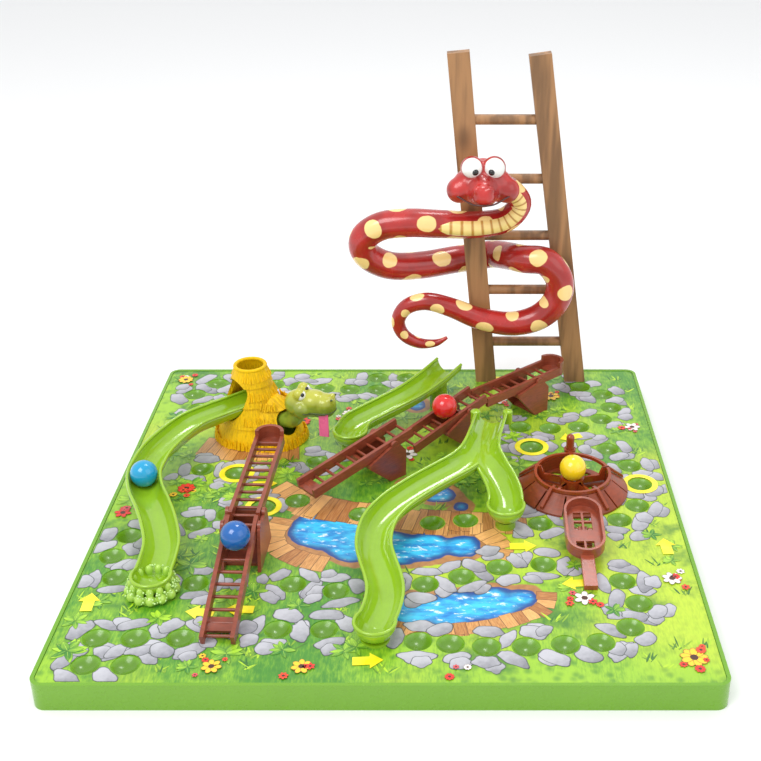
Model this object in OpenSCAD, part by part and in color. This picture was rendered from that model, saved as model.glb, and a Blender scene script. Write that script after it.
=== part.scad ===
// Snakes and ladders board with ball slides, tilting ladders, a spinning wheel and a catapult.
// Millimetres. The origin is on the table under the middle of the tray, and +Y is the back.

/* [Board] */
// Width and depth of the square tray
board_w = 400; // [392:1:430]
// Height of the tray's upper face above the table
tray_h = 17.5; // [15:0.5:24]
// Thickness of the tray's skirt
tray_wall = 2; // [1.6:0.1:3]
// Thickness of the tray's upper plate
tray_top = 2; // [1.6:0.1:3]
// Radius of the tray's corners
corner_r = 8; // [6:0.5:14]
// Width of the raised rim round the printed sheet
rim_w = 2.4; // [1.6:0.1:4]
// Height of the raised rim above the tray's upper face
rim_h = 0.9; // [0.6:0.1:2]
// Thickness of the ribs under the tray
rib_t = 2; // [1.2:0.1:3]
// Thickness of the printed sheet
sheet_t = 0.4; // [0.3:0.05:0.8]

/* [Cups and balls] */
// Diameter of a cup's mouth
cup_d = 16.3; // [14:0.1:17]
// Depth of a cup
cup_depth = 3.7; // [2.5:0.1:3.9]
// Wall of a cup under the tray
cup_wall = 1.6; // [1.2:0.1:2.4]
// Diameter of a ball
ball_d = 19; // [18.2:0.1:19.4]

/* [Fixing pegs] */
// Diameter of the pegs that hold the pieces on the tray
peg_d = 4; // [3:0.1:5]
// Length of a peg below the tray's upper plate
peg_end = 1.2; // [0.5:0.1:3]
// Clearance round a peg
peg_gap = 0.15; // [0.1:0.05:0.3]

/* [Slides] */
// Outer width of a slide
slide_w = 24; // [23.2:0.1:25]
// Wall of a slide
slide_wall = 1.6; // [1.2:0.1:1.8]
// How much wider than the channel an end bowl is, on each side
bowl_swell = 1.2; // [0.6:0.1:2]
// Height of the hut slide's rim at its top
hut_slide_h = 32; // [30:0.5:34]
// Height of the back slide's rim at its top
back_slide_h = 33; // [30:0.5:38]
// Height of the back slide's rim at its bowl
back_bowl_h = 20; // [17:0.5:24]
// Height of the forked slide's rim at its head
fork_slide_h = 36; // [33:0.5:40]
// Height of the forked slide's rim at its short branch's bowl
fork_bowl_h = 17; // [15.5:0.5:22]
// Diameter of the posts under the slides
post_d = 14; // [10:0.5:16]
// Thickness of the foot under a slide's lower bowl
foot_t = 1.6; // [1.2:0.1:2.5]

/* [Tilting ladders] */
// Outer width of a ladder
ladder_w = 21; // [20:0.1:22]
// Thickness of a ladder's rail
rail_t = 2.6; // [2.2:0.1:3]
// Height of a ladder's rail
rail_h = 7; // [6.6:0.1:9]
// Diameter of a rung
rung_d = 2.2; // [1.6:0.1:2.4]
// Distance from rung to rung
rung_pitch = 9.5; // [8:0.5:12]
// Diameter of the trunnions that a ladder tips on
trunnion_d = 3.2; // [2.8:0.1:4]
// Radial clearance of a trunnion in its bearing
run_gap = 0.08; // [0.04:0.01:0.1]
// Gap between a ladder's side and its trestle
side_gap = 0.4; // [0.3:0.1:0.6]
// Thickness of a trestle's cheek
cheek_t = 2.2; // [1.8:0.1:3]
// Height of the trunnions above the board
pivot_h = 28; // [25:0.5:32]
// Distance between the trunnions of the long ladder
long_pitch = 75; // [72:0.5:80]
// Length of a long ladder's beam above its trunnions, but for the last
long_high_arm = 19; // [16:0.5:20]
// Length of the long ladder's first beam below its trunnions
long_foot_arm = 72; // [60:1:76]
// Length of the long ladder's last beam above its trunnions, up to its scoop
long_end_arm = 25; // [20:1:28]
// Pitch of the long ladder's first beam at rest
long_low_tilt = 10; // [8:0.5:16]
// Pitch of the long ladder's second beam at rest
long_middle_tilt = 13; // [8:0.5:16]
// Pitch of the long ladder's last beam at rest
long_high_tilt = 0; // [0:0.5:12]
// Gap that a beam of the long ladder keeps from the next one while it swings
beam_gap = 0.5; // [0.4:0.1:2]
// Length of the left ladder's lower beam below its trunnions, as a share of the board's width
left_low_share = 0.22; // [0.2:0.0025:0.23]
// Length of the left ladder's upper beam above its trunnions, as a share of the board's width
left_high_share = 0.235; // [0.215:0.0025:0.245]
// Distance between the left ladder's two pairs of trunnions
left_pitch = 16; // [15:0.5:20]
// Length of a beam past its trunnions on its short side
short_arm = 6; // [5:0.5:6.5]

/* [Hut] */
// Radius of the hut at its foot
hut_r = 30; // [28:0.5:31]
// Radius of the hut at its top
hut_top_r = 12.2; // [11.8:0.1:14]
// Height of the hut
hut_h = 59; // [54:1:64]
// Wall of the hut
hut_wall = 1.8; // [1.5:0.1:2]
// How far each tier of thatch hangs over the one below
thatch_lip = 1.1; // [0.6:0.1:1.6]
// Radius of the hut's porch at its foot
porch_r = 25; // [23:0.5:26]
// Height of the hut's porch
porch_h = 36; // [33:0.5:40]
// Width of the hut's door above the slide
door_w = 26; // [25.5:0.5:28]
// Diameter of the round hole in the porch
den_d = 20; // [18:0.5:22]
// Height of the round hole's middle above the board
den_h = 19; // [17:0.5:21]

/* [Wheel] */
// Radius of the wheel's sloping skirt at its foot
wheel_r = 40; // [38:0.5:41]
// Radius of the wheel's upright wall, outside
wheel_wall_r = 27.5; // [26:0.5:29]
// Height of the wheel's upright wall
wheel_wall_h = 11; // [9:0.5:13]
// Thickness of the wheel's walls and floor
wheel_t = 2; // [1.6:0.1:2.6]
// Diameter of the wheel's pin
wheel_pin_d = 3; // [2.6:0.1:4]
// Outer radius of the hub that holds a ball
hub_r = 8.5; // [8:0.1:9.5]
// Thickness of a spoke
spoke_t = 2.2; // [1.6:0.1:3]
// Diameter of the peg that turns the wheel
knob_d = 6; // [5:0.5:7]
// Height of the peg that turns the wheel
knob_h = 12; // [9:0.5:16]

/* [Catapult] */
// Width of the catapult's tub
tub_w = 25.5; // [24.5:0.5:27]
// Length of the tub in front of the pin, towards the wheel
tub_front = 22; // [20:0.5:22.5]
// Length of the tub behind the pin
tub_back = 28; // [25:0.5:32]
// Length of the handle behind the tub
handle_l = 26; // [20:0.5:32]
// Width of the handle
handle_w = 8.7; // [7:0.1:11]
// Depth of the tub
tub_depth = 9; // [7:0.5:10]
// Wall of the tub
tub_wall = 1.8; // [1.4:0.1:2.4]
// Height of the catapult's pin above the board
pin_h = 7; // [6.5:0.1:8]
// Diameter of the catapult's pin
pin_d = 2.6; // [2.2:0.1:3]

/* [Standing ladder] */
// Height of the standing ladder above the board
stand_h = 276; // [260:1:290]
// Distance between the stiles' middles at the foot
stand_foot_w = 75; // [70:1:80]
// Distance between the stiles' middles at the top
stand_top_w = 61; // [57:1:66]
// How far the top of the standing ladder lies to the left of its foot
stand_lean = 32; // [26:1:38]
// Width of a stile
stile_w = 17; // [14:0.5:19]
// Depth of a stile
stile_d = 10; // [8:0.5:11]
// Diameter of a rung of the standing ladder
bar_d = 8; // [6:0.5:8.5]
// Radius of the climbing snake's body
snake_r = 12; // [9:0.1:12.2]

/* [Hidden] */
$fn = 48;
// Colours
green = [0.45, 0.68, 0.2];
lime = [0.58, 0.8, 0.24];
thatch = [0.97, 0.74, 0.12];
rust = [0.52, 0.24, 0.15];
orange_rust = [0.66, 0.3, 0.16];
wood = [0.6, 0.42, 0.27];
// Overrun of a cut past the face that it goes through
over = 1;
// Face to face clearance between pieces that rest on each other with curved faces
seat_gap = 0.3;
// Level of the board's surface: the top of the printed sheet
deck = tray_h + sheet_t;

// Places on the board, as shares of its width from its middle
cup_shares = [
    // Start, front left
    [-0.428, -0.455], [-0.37, -0.455], [-0.428, -0.395], [-0.37, -0.395], [-0.302, -0.395],
    // Front row
    [-0.16, -0.375], [-0.09, -0.375], [0.052, -0.402], [0.1, -0.408], [0.153, -0.415],
    [0.212, -0.415], [0.27, -0.41], [0.323, -0.405], [0.372, -0.37],
    // Right side
    [0.393, -0.312], [0.375, -0.255], [0.252, -0.21], [0.18, -0.218], [0.118, -0.243],
    [0.06, -0.263], [-0.08, -0.28], [-0.15, -0.263], [-0.305, -0.26], [-0.437, -0.245],
    // Left side and middle
    [-0.457, -0.187], [-0.443, -0.128], [-0.338, -0.092], [-0.285, -0.063], [-0.228, -0.04],
    [-0.17, -0.02], [-0.055, -0.063], [0.07, -0.09], [0.127, -0.082], [0.255, -0.092],
    [0.393, -0.08], [0.43, -0.035], [0.445, 0.035], [0.435, 0.1], [0.402, 0.162], [0.257, 0.168],
    // Back right
    [0.24, 0.248], [0.298, 0.242], [0.355, 0.248], [0.403, 0.28], [0.428, 0.328],
    [0.418, 0.385], [0.375, 0.42],
    // Middle left and back row
    [-0.148, 0.112], [-0.292, 0.072], [-0.358, 0.087], [-0.41, 0.325], [-0.428, 0.385],
    [-0.39, 0.435], [-0.33, 0.442], [-0.27, 0.43], [-0.215, 0.42], [-0.162, 0.412],
    [-0.108, 0.408], [-0.05, 0.408], [-0.052, 0.462], [0.01, 0.462]
];
hut_share = [-0.28, 0.228];
porch_share = [0.04, -0.0175];
wheel_share = [0.32, 0.022];
catapult_share = [0.322, -0.145];
long_share = [0.12, 0.2025];
left_share = [-0.244, -0.4125];
stand_share = [0.272, 0.455];
// Directions in which the ladders climb, in degrees from +X
long_turn = 42;
left_turn = 88;

// Routes of the slides: shares of the board's width along X and Y, and of the fall along Z
hut_route_shares = [
    [-0.28, 0.228, 1], [-0.312, 0.203, 0.96], [-0.345, 0.179, 0.92], [-0.381, 0.151, 0.84],
    [-0.407, 0.108, 0.76],
    [-0.427, 0.06, 0.68], [-0.435, 0.015, 0.6], [-0.436, -0.02, 0.52], [-0.424, -0.061, 0.44],
    [-0.405, -0.1, 0.36], [-0.385, -0.147, 0.26], [-0.369, -0.198, 0.15], [-0.366, -0.244, 0.07],
    [-0.368, -0.283, 0]
];
back_route_shares = [
    [0.098, 0.37, 1], [0.065, 0.315, 0.88], [0.029, 0.27, 0.7], [-0.01, 0.236, 0.5],
    [-0.046, 0.209, 0.3], [-0.076, 0.183, 0.12], [-0.087, 0.147, 0]
];
fork_left_shares = [
    [0.178, 0.145, 1], [0.163, 0.07, 0.96], [0.147, 0.022, 0.88], [0.124, -0.008, 0.79],
    [0.092, -0.034, 0.7], [0.052, -0.066, 0.59], [0.013, -0.105, 0.48], [-0.012, -0.143, 0.38],
    [-0.022, -0.18, 0.3], [-0.023, -0.217, 0.22], [-0.015, -0.253, 0.15], [-0.005, -0.289, 0.09],
    [0, -0.323, 0.05], [-0.003, -0.36, 0.02], [-0.012, -0.397, 0]
];
fork_right_shares = [
    [0.163, 0.07, 0.95], [0.16, 0.03, 0.84], [0.17, -0.005, 0.68], [0.184, -0.035, 0.45],
    [0.194, -0.066, 0.2], [0.195, -0.098, 0]
];

// Cups and pegs
cup_r = cup_d / 2;
cup_ball_r = (cup_r * cup_r + cup_depth * cup_depth) / (2 * cup_depth);
sheet_hole_gap = 0.5;
sheet_edge_gap = 0.3;
peg_l = sheet_t + tray_top + peg_end;

// Slides
slide_ro = slide_w / 2;
slide_ri = slide_ro - slide_wall;
bowl_ro = slide_ro + bowl_swell;
bowl_ri = bowl_ro - slide_wall;
ball_r = ball_d / 2;
// How far the hut slide's closed start lies behind the middle of the hut, where the ball drops in
hut_lead = ball_r + seat_gap;
arc_sides = 8;
// Point of the hut slide's route where the cyan ball lies
cyan_at = 7;
route_steps = 3;
post_saddle = 4;
foot_r = 9;
scallop_r = 15;
scallop_d = 6;
scallop_count = 12;
ear_r = 4;
ear_h = 9;

// Ladders
long_low_arm = long_pitch - long_high_arm - beam_gap;
left_low_arm = left_low_share * board_w;
left_high_arm = left_high_share * board_w;
trunnion_r = trunnion_d / 2;
lug_wall = 1.8;
rail_gap = ladder_w - 2 * rail_t;
cheek_y = ladder_w / 2 + side_gap;
rung_lift = 0.2;
scoop_rise = 4;
scoop_floor = 2;
foot_plate_l = 10;
foot_plate_t = 2;
foot_plate_in = 8;
trestle_floor_t = 2;
web_t = 2;
web_h = 18.4;
// The front of a trestle's upright web, ahead of the trunnions
web_x = 7;
ladder_peg_y = 6;
// Outline of a long ladder's trestle, as shares of the trunnions' height, up to its tip under the beam
trestle_shares = [[-0.18, 0], [0.33, 0], [0.35, 0.75], [0.14, 1], [-0.14, 1]];
tip_reach = 23.5;
tip_h = 3;
tip_bar_l = 3;
// How far the left trestle's cheeks reach past its trunnions, at the foot and at the top
left_foot_reach = 12;
left_top_reach = 5;

// Hut
tier_shares = [0, 0.26, 0.52, 0.77, 1];
porch_tier_shares = [0, 0.5, 0.8, 1];
hut_curve = 1.25;
porch_top_share = 0.2;
porch_curve = 0.55;
door_gap = 0.6;
den_turn = -40;
door_rise = 6;
hut_pad_r = 3;
hut_pad_h = 5;
hut_pad_turns = [100, 172];

// Snake in the hut: its neck as shares of the hut's height, from the hut's middle
neck_r = 6.3;
neck_shares = [
    [0.15, -0.11, 0.01], [0.16, -0.12, 0.12], [0.24, -0.15, 0.25], [0.42, -0.25, 0.335],
    [0.54, -0.34, 0.37], [0.62, -0.4, 0.47], [0.64, -0.41, 0.58]
];
neck_foot_t = 1.6;
hut_head_share = [0.65, -0.41, 0.66];
hut_head_turn = -12;
hut_head_r = 10.5;
hut_snout_r = 8.5;
hut_head_l = 21;
hut_eye_r = 3.4;
tongue_l = 19.5;
tongue_w = 7.6;
tongue_t = 1.6;

// Wheel
wheel_boss_r = 4.6;
wheel_boss_h = 3;
wheel_lip = 1.6;
hub_gap = 0.25;
hub_h = 6.2;
hub_web = 1.5;
hub_wall = 2.4;
pin_head_r = 3;
pin_head_t = 1.2;
spoke_turns = [16, 88, 160, 232, 304];
knob_turn = 88;
knob_at = 33;
knob_pad_r = 4.4;
knob_pad_t = 2.4;
knob_tenon_d = 3;
window_r = 6.6;
window_at = 16;
slit_w = 1.3;
slit_count = 9;
gap_from = 18;
gap_to = 72;
spoke_clear = 0.5;
spoke_h = 5;
spoke_tip = 2.4;
wheel_peg_at = 20;

// Catapult
lug_w = 6;
lug_r = 3.4;
tub_floor_z = 3.6;
stand_t = 2.5;
stand_floor_t = 2;
stand_l = 14;
handle_t = 4;
lattice = 5.2;
lattice_bar = 1.6;

// Standing ladder
bar_shares = [0.13, 0.3, 0.47, 0.64, 0.81];
tenon_inset = 3;
// Route of the climbing snake, tail first: X and height as shares of the ladder's height from its
// foot's middle, Y as a share of the reach that carries the body past a stile, behind it if above
// zero, and the body's radius as a share of the largest
climb_shares = [
    [-0.256, -0.95, 0.17, 0.12], [-0.292, -0.95, 0.152, 0.28], [-0.343, -0.95, 0.153, 0.4],
    [-0.387, -0.95, 0.182, 0.47], [-0.4, -0.95, 0.229, 0.52], [-0.372, -0.97, 0.272, 0.58],
    [-0.314, -1, 0.288, 0.65], [-0.242, -1, 0.268, 0.72], [-0.162, -1, 0.234, 0.8],
    [-0.068, -1, 0.217, 0.88], [0.012, -1, 0.238, 0.95], [0.062, -1.02, 0.29, 1],
    [0.07, -1.02, 0.355, 1], [0.03, -0.95, 0.41, 1], [-0.033, -0.65, 0.412, 1],
    [-0.076, 0.25, 0.4, 1], [-0.118, 0.98, 0.388, 1], [-0.163, 1.05, 0.38, 1],
    [-0.235, 1, 0.37, 1], [-0.33, 0.35, 0.369, 1], [-0.423, -0.3, 0.383, 1],
    [-0.488, -0.6, 0.424, 1], [-0.496, -0.8, 0.478, 1], [-0.445, -0.92, 0.518, 1],
    [-0.365, -1, 0.53, 1], [-0.271, -1.02, 0.527, 0.98], [-0.17, -1.05, 0.526, 0.94],
    [-0.09, -1.05, 0.542, 0.88], [-0.052, -1.05, 0.588, 0.82], [-0.08, -1.2, 0.632, 0.8],
    [-0.125, -1.5, 0.655, 0.8], [-0.158, -1.7, 0.667, 0.8]
];
climb_gap = 0.4;
climb_steps = 3;
climb_sides = 10;
climb_head_r = 15;
climb_cheek_r = 10;
climb_cheek_x = 18;
climb_snout_r = 9;
climb_snout_l = 21;
climb_eye_r = 8;
// Level directions that the two snakes' bodies are drawn square to
climb_side_share = [0, 1, 0];
neck_side_share = [0.6, 0.8, 0];

// Plane places, routes and swept solids
function place(s) = [s[0], s[1]] * board_w;
function turned(v, a) = [v[0] * cos(a) - v[1] * sin(a), v[0] * sin(a) + v[1] * cos(a)];
function unit(v) = v / norm(v);
function curve(a, b, c, d, t) =
    (2 * b + (c - a) * t + (2 * a - 5 * b + 4 * c - d) * t * t + (3 * b - a - 3 * c + d) * t * t * t) / 2;
function smooth(p, n) = let (last = len(p) - 1) [
    for (i = [0:last - 1], j = [0:n - 1])
        curve(p[max(i - 1, 0)], p[i], p[i + 1], p[min(i + 2, last)], j / n),
    p[last]
];
function run(p, i) = p[min(i + 1, len(p) - 1)] - p[max(i - 1, 0)];
function route(shares, high, low) = smooth(
    [for (s = shares) [s[0] * board_w, s[1] * board_w, deck + low + s[2] * (high - low)]], route_steps);
// The same route, drawn back past its start
function drawn_back(p, l) = concat([p[0] - unit(p[1] - p[0]) * l], p);
// Half disc below the rim, and with open walls above it
function half_disc(r) = [for (i = [0:arc_sides]) [r * cos(180 + i * 180 / arc_sides),
    r * sin(180 + i * 180 / arc_sides)]];
function open_disc(r) = concat([[-r, over]], [for (i = [1:arc_sides - 1]) half_disc(r)[i]],
    [[r, over], [r, r], [-r, r]]);
function upright_ring(p, i, outline) = let (d = run(p, i), s = unit([d[1], -d[0], 0]))
    [for (q = outline) p[i] + s * q[0] + [0, 0, q[1]]];
// Ring of a round body, square to the run
function round_ring(p, i, r, n, side) = let (d = unit(run(p, i)), s = unit(cross(d, side)), u = cross(s, d))
    [for (k = [0:n - 1]) p[i] + r * (cos(k * 360 / n) * s + sin(k * 360 / n) * u)];
module skin(rings) {
    n = len(rings);
    m = len(rings[0]);
    polyhedron(
        points = [for (ring = rings, q = ring) q],
        faces = concat(
            [for (i = [0:n - 2], j = [0:m - 1]) [i * m + j, (i + 1) * m + (j + 1) % m, (i + 1) * m + j]],
            [for (i = [0:n - 2], j = [0:m - 1]) [i * m + j, i * m + (j + 1) % m, (i + 1) * m + (j + 1) % m]],
            [for (j = [1:m - 2]) [0, j + 1, j]],
            [for (j = [1:m - 2]) [(n - 1) * m, (n - 1) * m + j, (n - 1) * m + j + 1]]));
}
module sweep(p, outline) skin([for (i = [0:len(p) - 1]) upright_ring(p, i, outline)]);
module body(p, radii, n, side) skin([for (i = [0:len(p) - 1]) round_ring(p, i, radii[i], n, side)]);

hut_route = route(hut_route_shares, hut_slide_h, bowl_ro);
back_route = route(back_route_shares, back_slide_h, back_bowl_h);
fork_left_route = route(fork_left_shares, fork_slide_h, bowl_ro);
fork_right_route = route(fork_right_shares, fork_slide_h, fork_bowl_h);
function end_of(p) = p[len(p) - 1];

// Pitch of a beam whose low end rests on the board
function rest_tilt(arm) = asin((pivot_h - seat_gap) / norm([arm, rail_h / 2])) - atan2(rail_h / 2, arm);
left_tilt = rest_tilt(left_low_arm);
left_pivot_1 = left_low_arm * cos(left_tilt);
left_pivot_2 = left_pivot_1 + left_pitch;
function long_point(x, y) = place(long_share) + turned([x, y], long_turn);
function left_point(x, y) = place(left_share) + turned([x, y], left_turn);
// Height of a ball's middle above the trunnions when it lies on the rails
ball_on_rails = rail_h / 2 + sqrt(pow(ball_r + seat_gap, 2) - pow(rail_gap / 2, 2));

hut_xy = place(hut_share);
// The door follows the slide's first stretch
door_run = hut_route[route_steps] - hut_route[0];
door_turn = atan2(door_run[1], door_run[0]);
door_fall = atan2(-door_run[2], norm([door_run[0], door_run[1]]));
porch_xy = hut_xy + place(porch_share);
wheel_xy = place(wheel_share);
catapult_xy = place(catapult_share);
stand_xy = place(stand_share);
hub_top = wheel_boss_h + hub_gap + hub_h;
hub_ri = hub_r - hub_wall;
ball_on_hub = hub_top + sqrt(pow(ball_r + seat_gap, 2) - hub_ri * hub_ri);
climb_reach = stile_d / 2 + snake_r + climb_gap;
// Points of the climbing snake, each with its radius
climb_points = smooth([for (s = climb_shares) [stand_xy[0] + s[0] * stand_h, stand_xy[1] + s[1] * climb_reach,
    deck + s[2] * stand_h, s[3] * snake_r]], climb_steps);
climb_route = [for (q = climb_points) [q[0], q[1], q[2]]];
climb_head = end_of(climb_route);
neck_route = smooth([for (s = neck_shares) [hut_xy[0], hut_xy[1], deck] + s * hut_h], route_steps);
hut_head = [hut_xy[0], hut_xy[1], deck] + hut_head_share * hut_h;

// Places of the pegs that go through the sheet and the tray
hut_pegs = [for (a = hut_pad_turns) hut_xy + turned([hut_r - hut_wall - hut_pad_r * 0.8, 0], a)];
neck_peg = [neck_route[0][0], neck_route[0][1]];
slide_pegs = [for (p = [hut_route, fork_left_route]) [end_of(p)[0], end_of(p)[1]]];
back_posts = [back_route[2], end_of(back_route)];
fork_posts = [fork_left_route[2], end_of(fork_right_route)];
post_pegs = [for (p = concat(back_posts, fork_posts)) [p[0], p[1]]];
long_pegs = [for (k = [-1:1], s = [-1, 1]) long_point(k * long_pitch + web_x / 3, s * ladder_peg_y)];
left_pegs = [for (s = [-1, 1]) left_point(left_pivot_1 + left_pitch / 2, s * ladder_peg_y)];
wheel_pegs = [for (a = [spoke_turns[1], spoke_turns[3]]) wheel_xy + turned([wheel_peg_at, 0], a)];
catapult_pegs = [for (s = [-1, 1]) catapult_xy + [0, s * stand_l / 4]];
all_pegs = concat(hut_pegs, [neck_peg], slide_pegs, post_pegs, long_pegs, left_pegs, wheel_pegs,
    catapult_pegs);
module pegs(places) for (p = places) translate([p[0], p[1], deck - peg_l]) cylinder(d = peg_d, h = peg_l);
module peg_holes() for (p = all_pegs) translate([p[0], p[1], deck - peg_l - over])
    cylinder(d = peg_d + 2 * peg_gap, h = peg_l + 2 * over);

// Stiles of the standing ladder: their middles at the foot and at the top
function stile_foot(s) = stand_xy[0] + s * stand_foot_w / 2;
function stile_top(s) = stand_xy[0] - stand_lean + s * stand_top_w / 2;
function stile_x(s, share) = stile_foot(s) * (1 - share) + stile_top(s) * share;
module stile_tenon(s, gap) translate([stile_foot(s) - stile_w / 2 + tenon_inset - gap,
    stand_xy[1] - stile_d / 2 + tenon_inset / 2 - gap, deck - peg_l - gap])
    cube([stile_w - 2 * tenon_inset + 2 * gap, stile_d - tenon_inset + 2 * gap, peg_l + over + 2 * gap]);

module rounded(w, r, h) linear_extrude(h) {
    square([w - 2 * r, w], center = true);
    square([w, w - 2 * r], center = true);
    for (x = [-1, 1], y = [-1, 1]) translate([x, y] * (w / 2 - r)) circle(r);
}

module tray() color(green) difference() {
    union() {
        difference() {
            rounded(board_w, corner_r, tray_h);
            translate([0, 0, -over])
                rounded(board_w - 2 * tray_wall, corner_r - tray_wall, tray_h - tray_top + over);
        }
        translate([0, 0, tray_h - tray_top / 2]) difference() {
            rounded(board_w, corner_r, rim_h + tray_top / 2);
            translate([0, 0, -over])
                rounded(board_w - 2 * rim_w, corner_r - rim_w, rim_h + tray_top + 2 * over);
        }
        for (a = [0, 90]) rotate(a) translate([-board_w / 2 + tray_wall / 2, -rib_t / 2, 0])
            cube([board_w - tray_wall, rib_t, tray_h - tray_top / 2]);
        for (s = cup_shares) translate([place(s)[0], place(s)[1], tray_h - cup_depth - cup_wall])
            cylinder(r = cup_r, h = cup_depth + cup_wall - tray_top / 2);
    }
    for (s = cup_shares) translate([place(s)[0], place(s)[1], tray_h - cup_depth + cup_ball_r])
        sphere(cup_ball_r);
    peg_holes();
    for (s = [-1, 1]) stile_tenon(s, peg_gap);
}

module print_sheet() color("yellowgreen") difference() {
    translate([0, 0, tray_h])
        rounded(board_w - 2 * rim_w - 2 * sheet_edge_gap, corner_r - rim_w - sheet_edge_gap, sheet_t);
    for (s = cup_shares) translate([place(s)[0], place(s)[1], tray_h - over])
        cylinder(r = cup_r + sheet_hole_gap, h = sheet_t + 2 * over);
    peg_holes();
    for (s = [-1, 1]) stile_tenon(s, peg_gap);
}

module half_ball(r) difference() {
    sphere(r);
    translate([-r - over, -r - over, 0]) cube(2 * (r + over));
}
// Slide: channels and end bowls cut from their outer forms, each drawn back by its own length
module slide(routes, bowls, lead = over, cut_lead = 2 * over) difference() {
    union() {
        for (p = routes) sweep(drawn_back(p, lead), half_disc(slide_ro));
        for (b = bowls) translate(b) half_ball(bowl_ro);
        children();
    }
    for (p = routes) sweep(drawn_back(p, cut_lead), open_disc(slide_ri));
    for (b = bowls) translate(b) sphere(bowl_ri);
}
module slide_foot(p, r) {
    translate([p[0], p[1], deck]) cylinder(r = r, h = foot_t);
    pegs([p]);
}

module slide_hut() color(lime) slide([hut_route], [end_of(hut_route)], hut_lead + slide_wall, hut_lead) {
    slide_foot(end_of(hut_route), scallop_r);
    for (k = [0:scallop_count - 1]) translate([end_of(hut_route)[0], end_of(hut_route)[1], deck])
        rotate(k * 360 / scallop_count) translate([scallop_r - over, 0, 0])
            cylinder(d = scallop_d, h = foot_t);
}
module slide_back() color(lime) slide([back_route], [end_of(back_route)]);
module slide_fork() color(lime)
    slide([fork_left_route, fork_right_route], [end_of(fork_left_route), end_of(fork_right_route)]) {
        slide_foot(end_of(fork_left_route), foot_r);
        for (s = [-1, 1]) translate(fork_left_route[0] + [s * slide_ro, 0, -ear_h])
            cylinder(r = ear_r, h = ear_h);
    }
// Post with a saddle cut to what it carries
module post(p) difference() {
    union() {
        translate([p[0], p[1], deck]) cylinder(d = post_d, h = p[2] - deck - bowl_ro + post_saddle);
        pegs([p]);
    }
    children();
}
module slide_back_posts() color(green) {
    post(back_posts[0]) sweep(back_route, half_disc(slide_ro + seat_gap));
    post(back_posts[1]) translate(back_posts[1]) sphere(bowl_ro + seat_gap);
}
module slide_fork_posts() color(green) {
    post(fork_posts[0]) sweep(fork_left_route, half_disc(slide_ro + seat_gap));
    post(fork_posts[1]) translate(fork_posts[1]) sphere(bowl_ro + seat_gap);
}

// Trestle: an upright plate on each side of the beam, a floor and a web
module cheeks(outline, pivots) for (s = [-1, 1])
    translate([0, s > 0 ? cheek_y + cheek_t : -cheek_y, 0]) rotate([90, 0, 0]) linear_extrude(cheek_t)
        difference() {
            union() {
                polygon(outline);
                for (x = pivots) translate([x, pivot_h]) circle(trunnion_r + lug_wall);
            }
            for (x = pivots) translate([x, pivot_h]) circle(trunnion_r + run_gap);
        }
module crossing(x, l, h) translate([x, -cheek_y - cheek_t / 2, 0]) cube([l, 2 * cheek_y + cheek_t, h]);
// Height at which a beam's underside rests on its trestle's tip
function tip_top(tilt) = pivot_h - tip_reach * tan(tilt) - rail_h / 2 / cos(tilt) - seat_gap;
module long_trestle(k, tilt) color(rust) {
    translate([long_point(k * long_pitch, 0)[0], long_point(k * long_pitch, 0)[1], deck]) rotate(long_turn) {
        cheeks(concat(trestle_shares * pivot_h,
            [[-tip_reach, tip_top(tilt)], [-tip_reach, tip_top(tilt) - tip_h]]), [0]);
        crossing(trestle_shares[0][0] * pivot_h, (trestle_shares[1][0] - trestle_shares[0][0]) * pivot_h,
            trestle_floor_t);
        crossing(web_x, web_t, web_h);
        translate([-tip_reach, -cheek_y - cheek_t / 2, tip_top(tilt) - tip_h])
            cube([tip_bar_l, 2 * cheek_y + cheek_t, tip_h]);
    }
    pegs([for (s = [-1, 1]) long_point(k * long_pitch + web_x / 3, s * ladder_peg_y)]);
}
module trestle_front() long_trestle(-1, long_low_tilt);
module trestle_middle() long_trestle(0, long_middle_tilt);
module trestle_back() long_trestle(1, long_high_tilt);
module trestle_left() color(rust) {
    translate([left_point(left_pivot_1, 0)[0], left_point(left_pivot_1, 0)[1], deck]) rotate(left_turn) {
        cheeks([[-left_foot_reach, 0], [left_pitch + left_foot_reach, 0],
            [left_pitch + left_top_reach, pivot_h], [-left_top_reach, pivot_h]], [0, left_pitch]);
        crossing(-left_top_reach, left_pitch + 2 * left_top_reach, trestle_floor_t);
        crossing(left_pitch + web_x, web_t, pivot_h - rail_h / 2 - seat_gap);
    }
    pegs(left_pegs);
}

// Beam of a tilting ladder, level, with its trunnions at the origin and its climb along +X
module rails(low, high) for (s = [-1, 1])
    translate([-low, s * (ladder_w - rail_t) / 2 - rail_t / 2, -rail_h / 2])
        cube([low + high, rail_t, rail_h]);
module beam_rungs(low, high) for (x = [-low + rung_pitch / 2:rung_pitch:high])
    translate([x, 0, -rail_h / 2 + rung_d / 2 + rung_lift]) rotate([90, 0, 0])
        cylinder(d = rung_d, h = rail_gap + rail_t, center = true);
module trunnions() for (s = [-1, 1]) translate([0, s * (ladder_w - rail_t) / 2, 0])
    rotate([-s * 90, 0, 0]) cylinder(r = trunnion_r, h = rail_t / 2 + side_gap + cheek_t);
module scoop(x) translate([x, 0, -rail_h / 2]) {
    difference() {
        cylinder(r = ladder_w / 2, h = rail_h + scoop_rise);
        translate([0, 0, scoop_floor]) cylinder(r = ladder_w / 2 - rail_t, h = rail_h + scoop_rise);
        translate([-ladder_w, -ladder_w, -over])
            cube([ladder_w, 2 * ladder_w, rail_h + scoop_rise + 2 * over]);
    }
    translate([-rail_t, -ladder_w / 2, 0]) cube([2 * rail_t, ladder_w, scoop_floor]);
}
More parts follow.
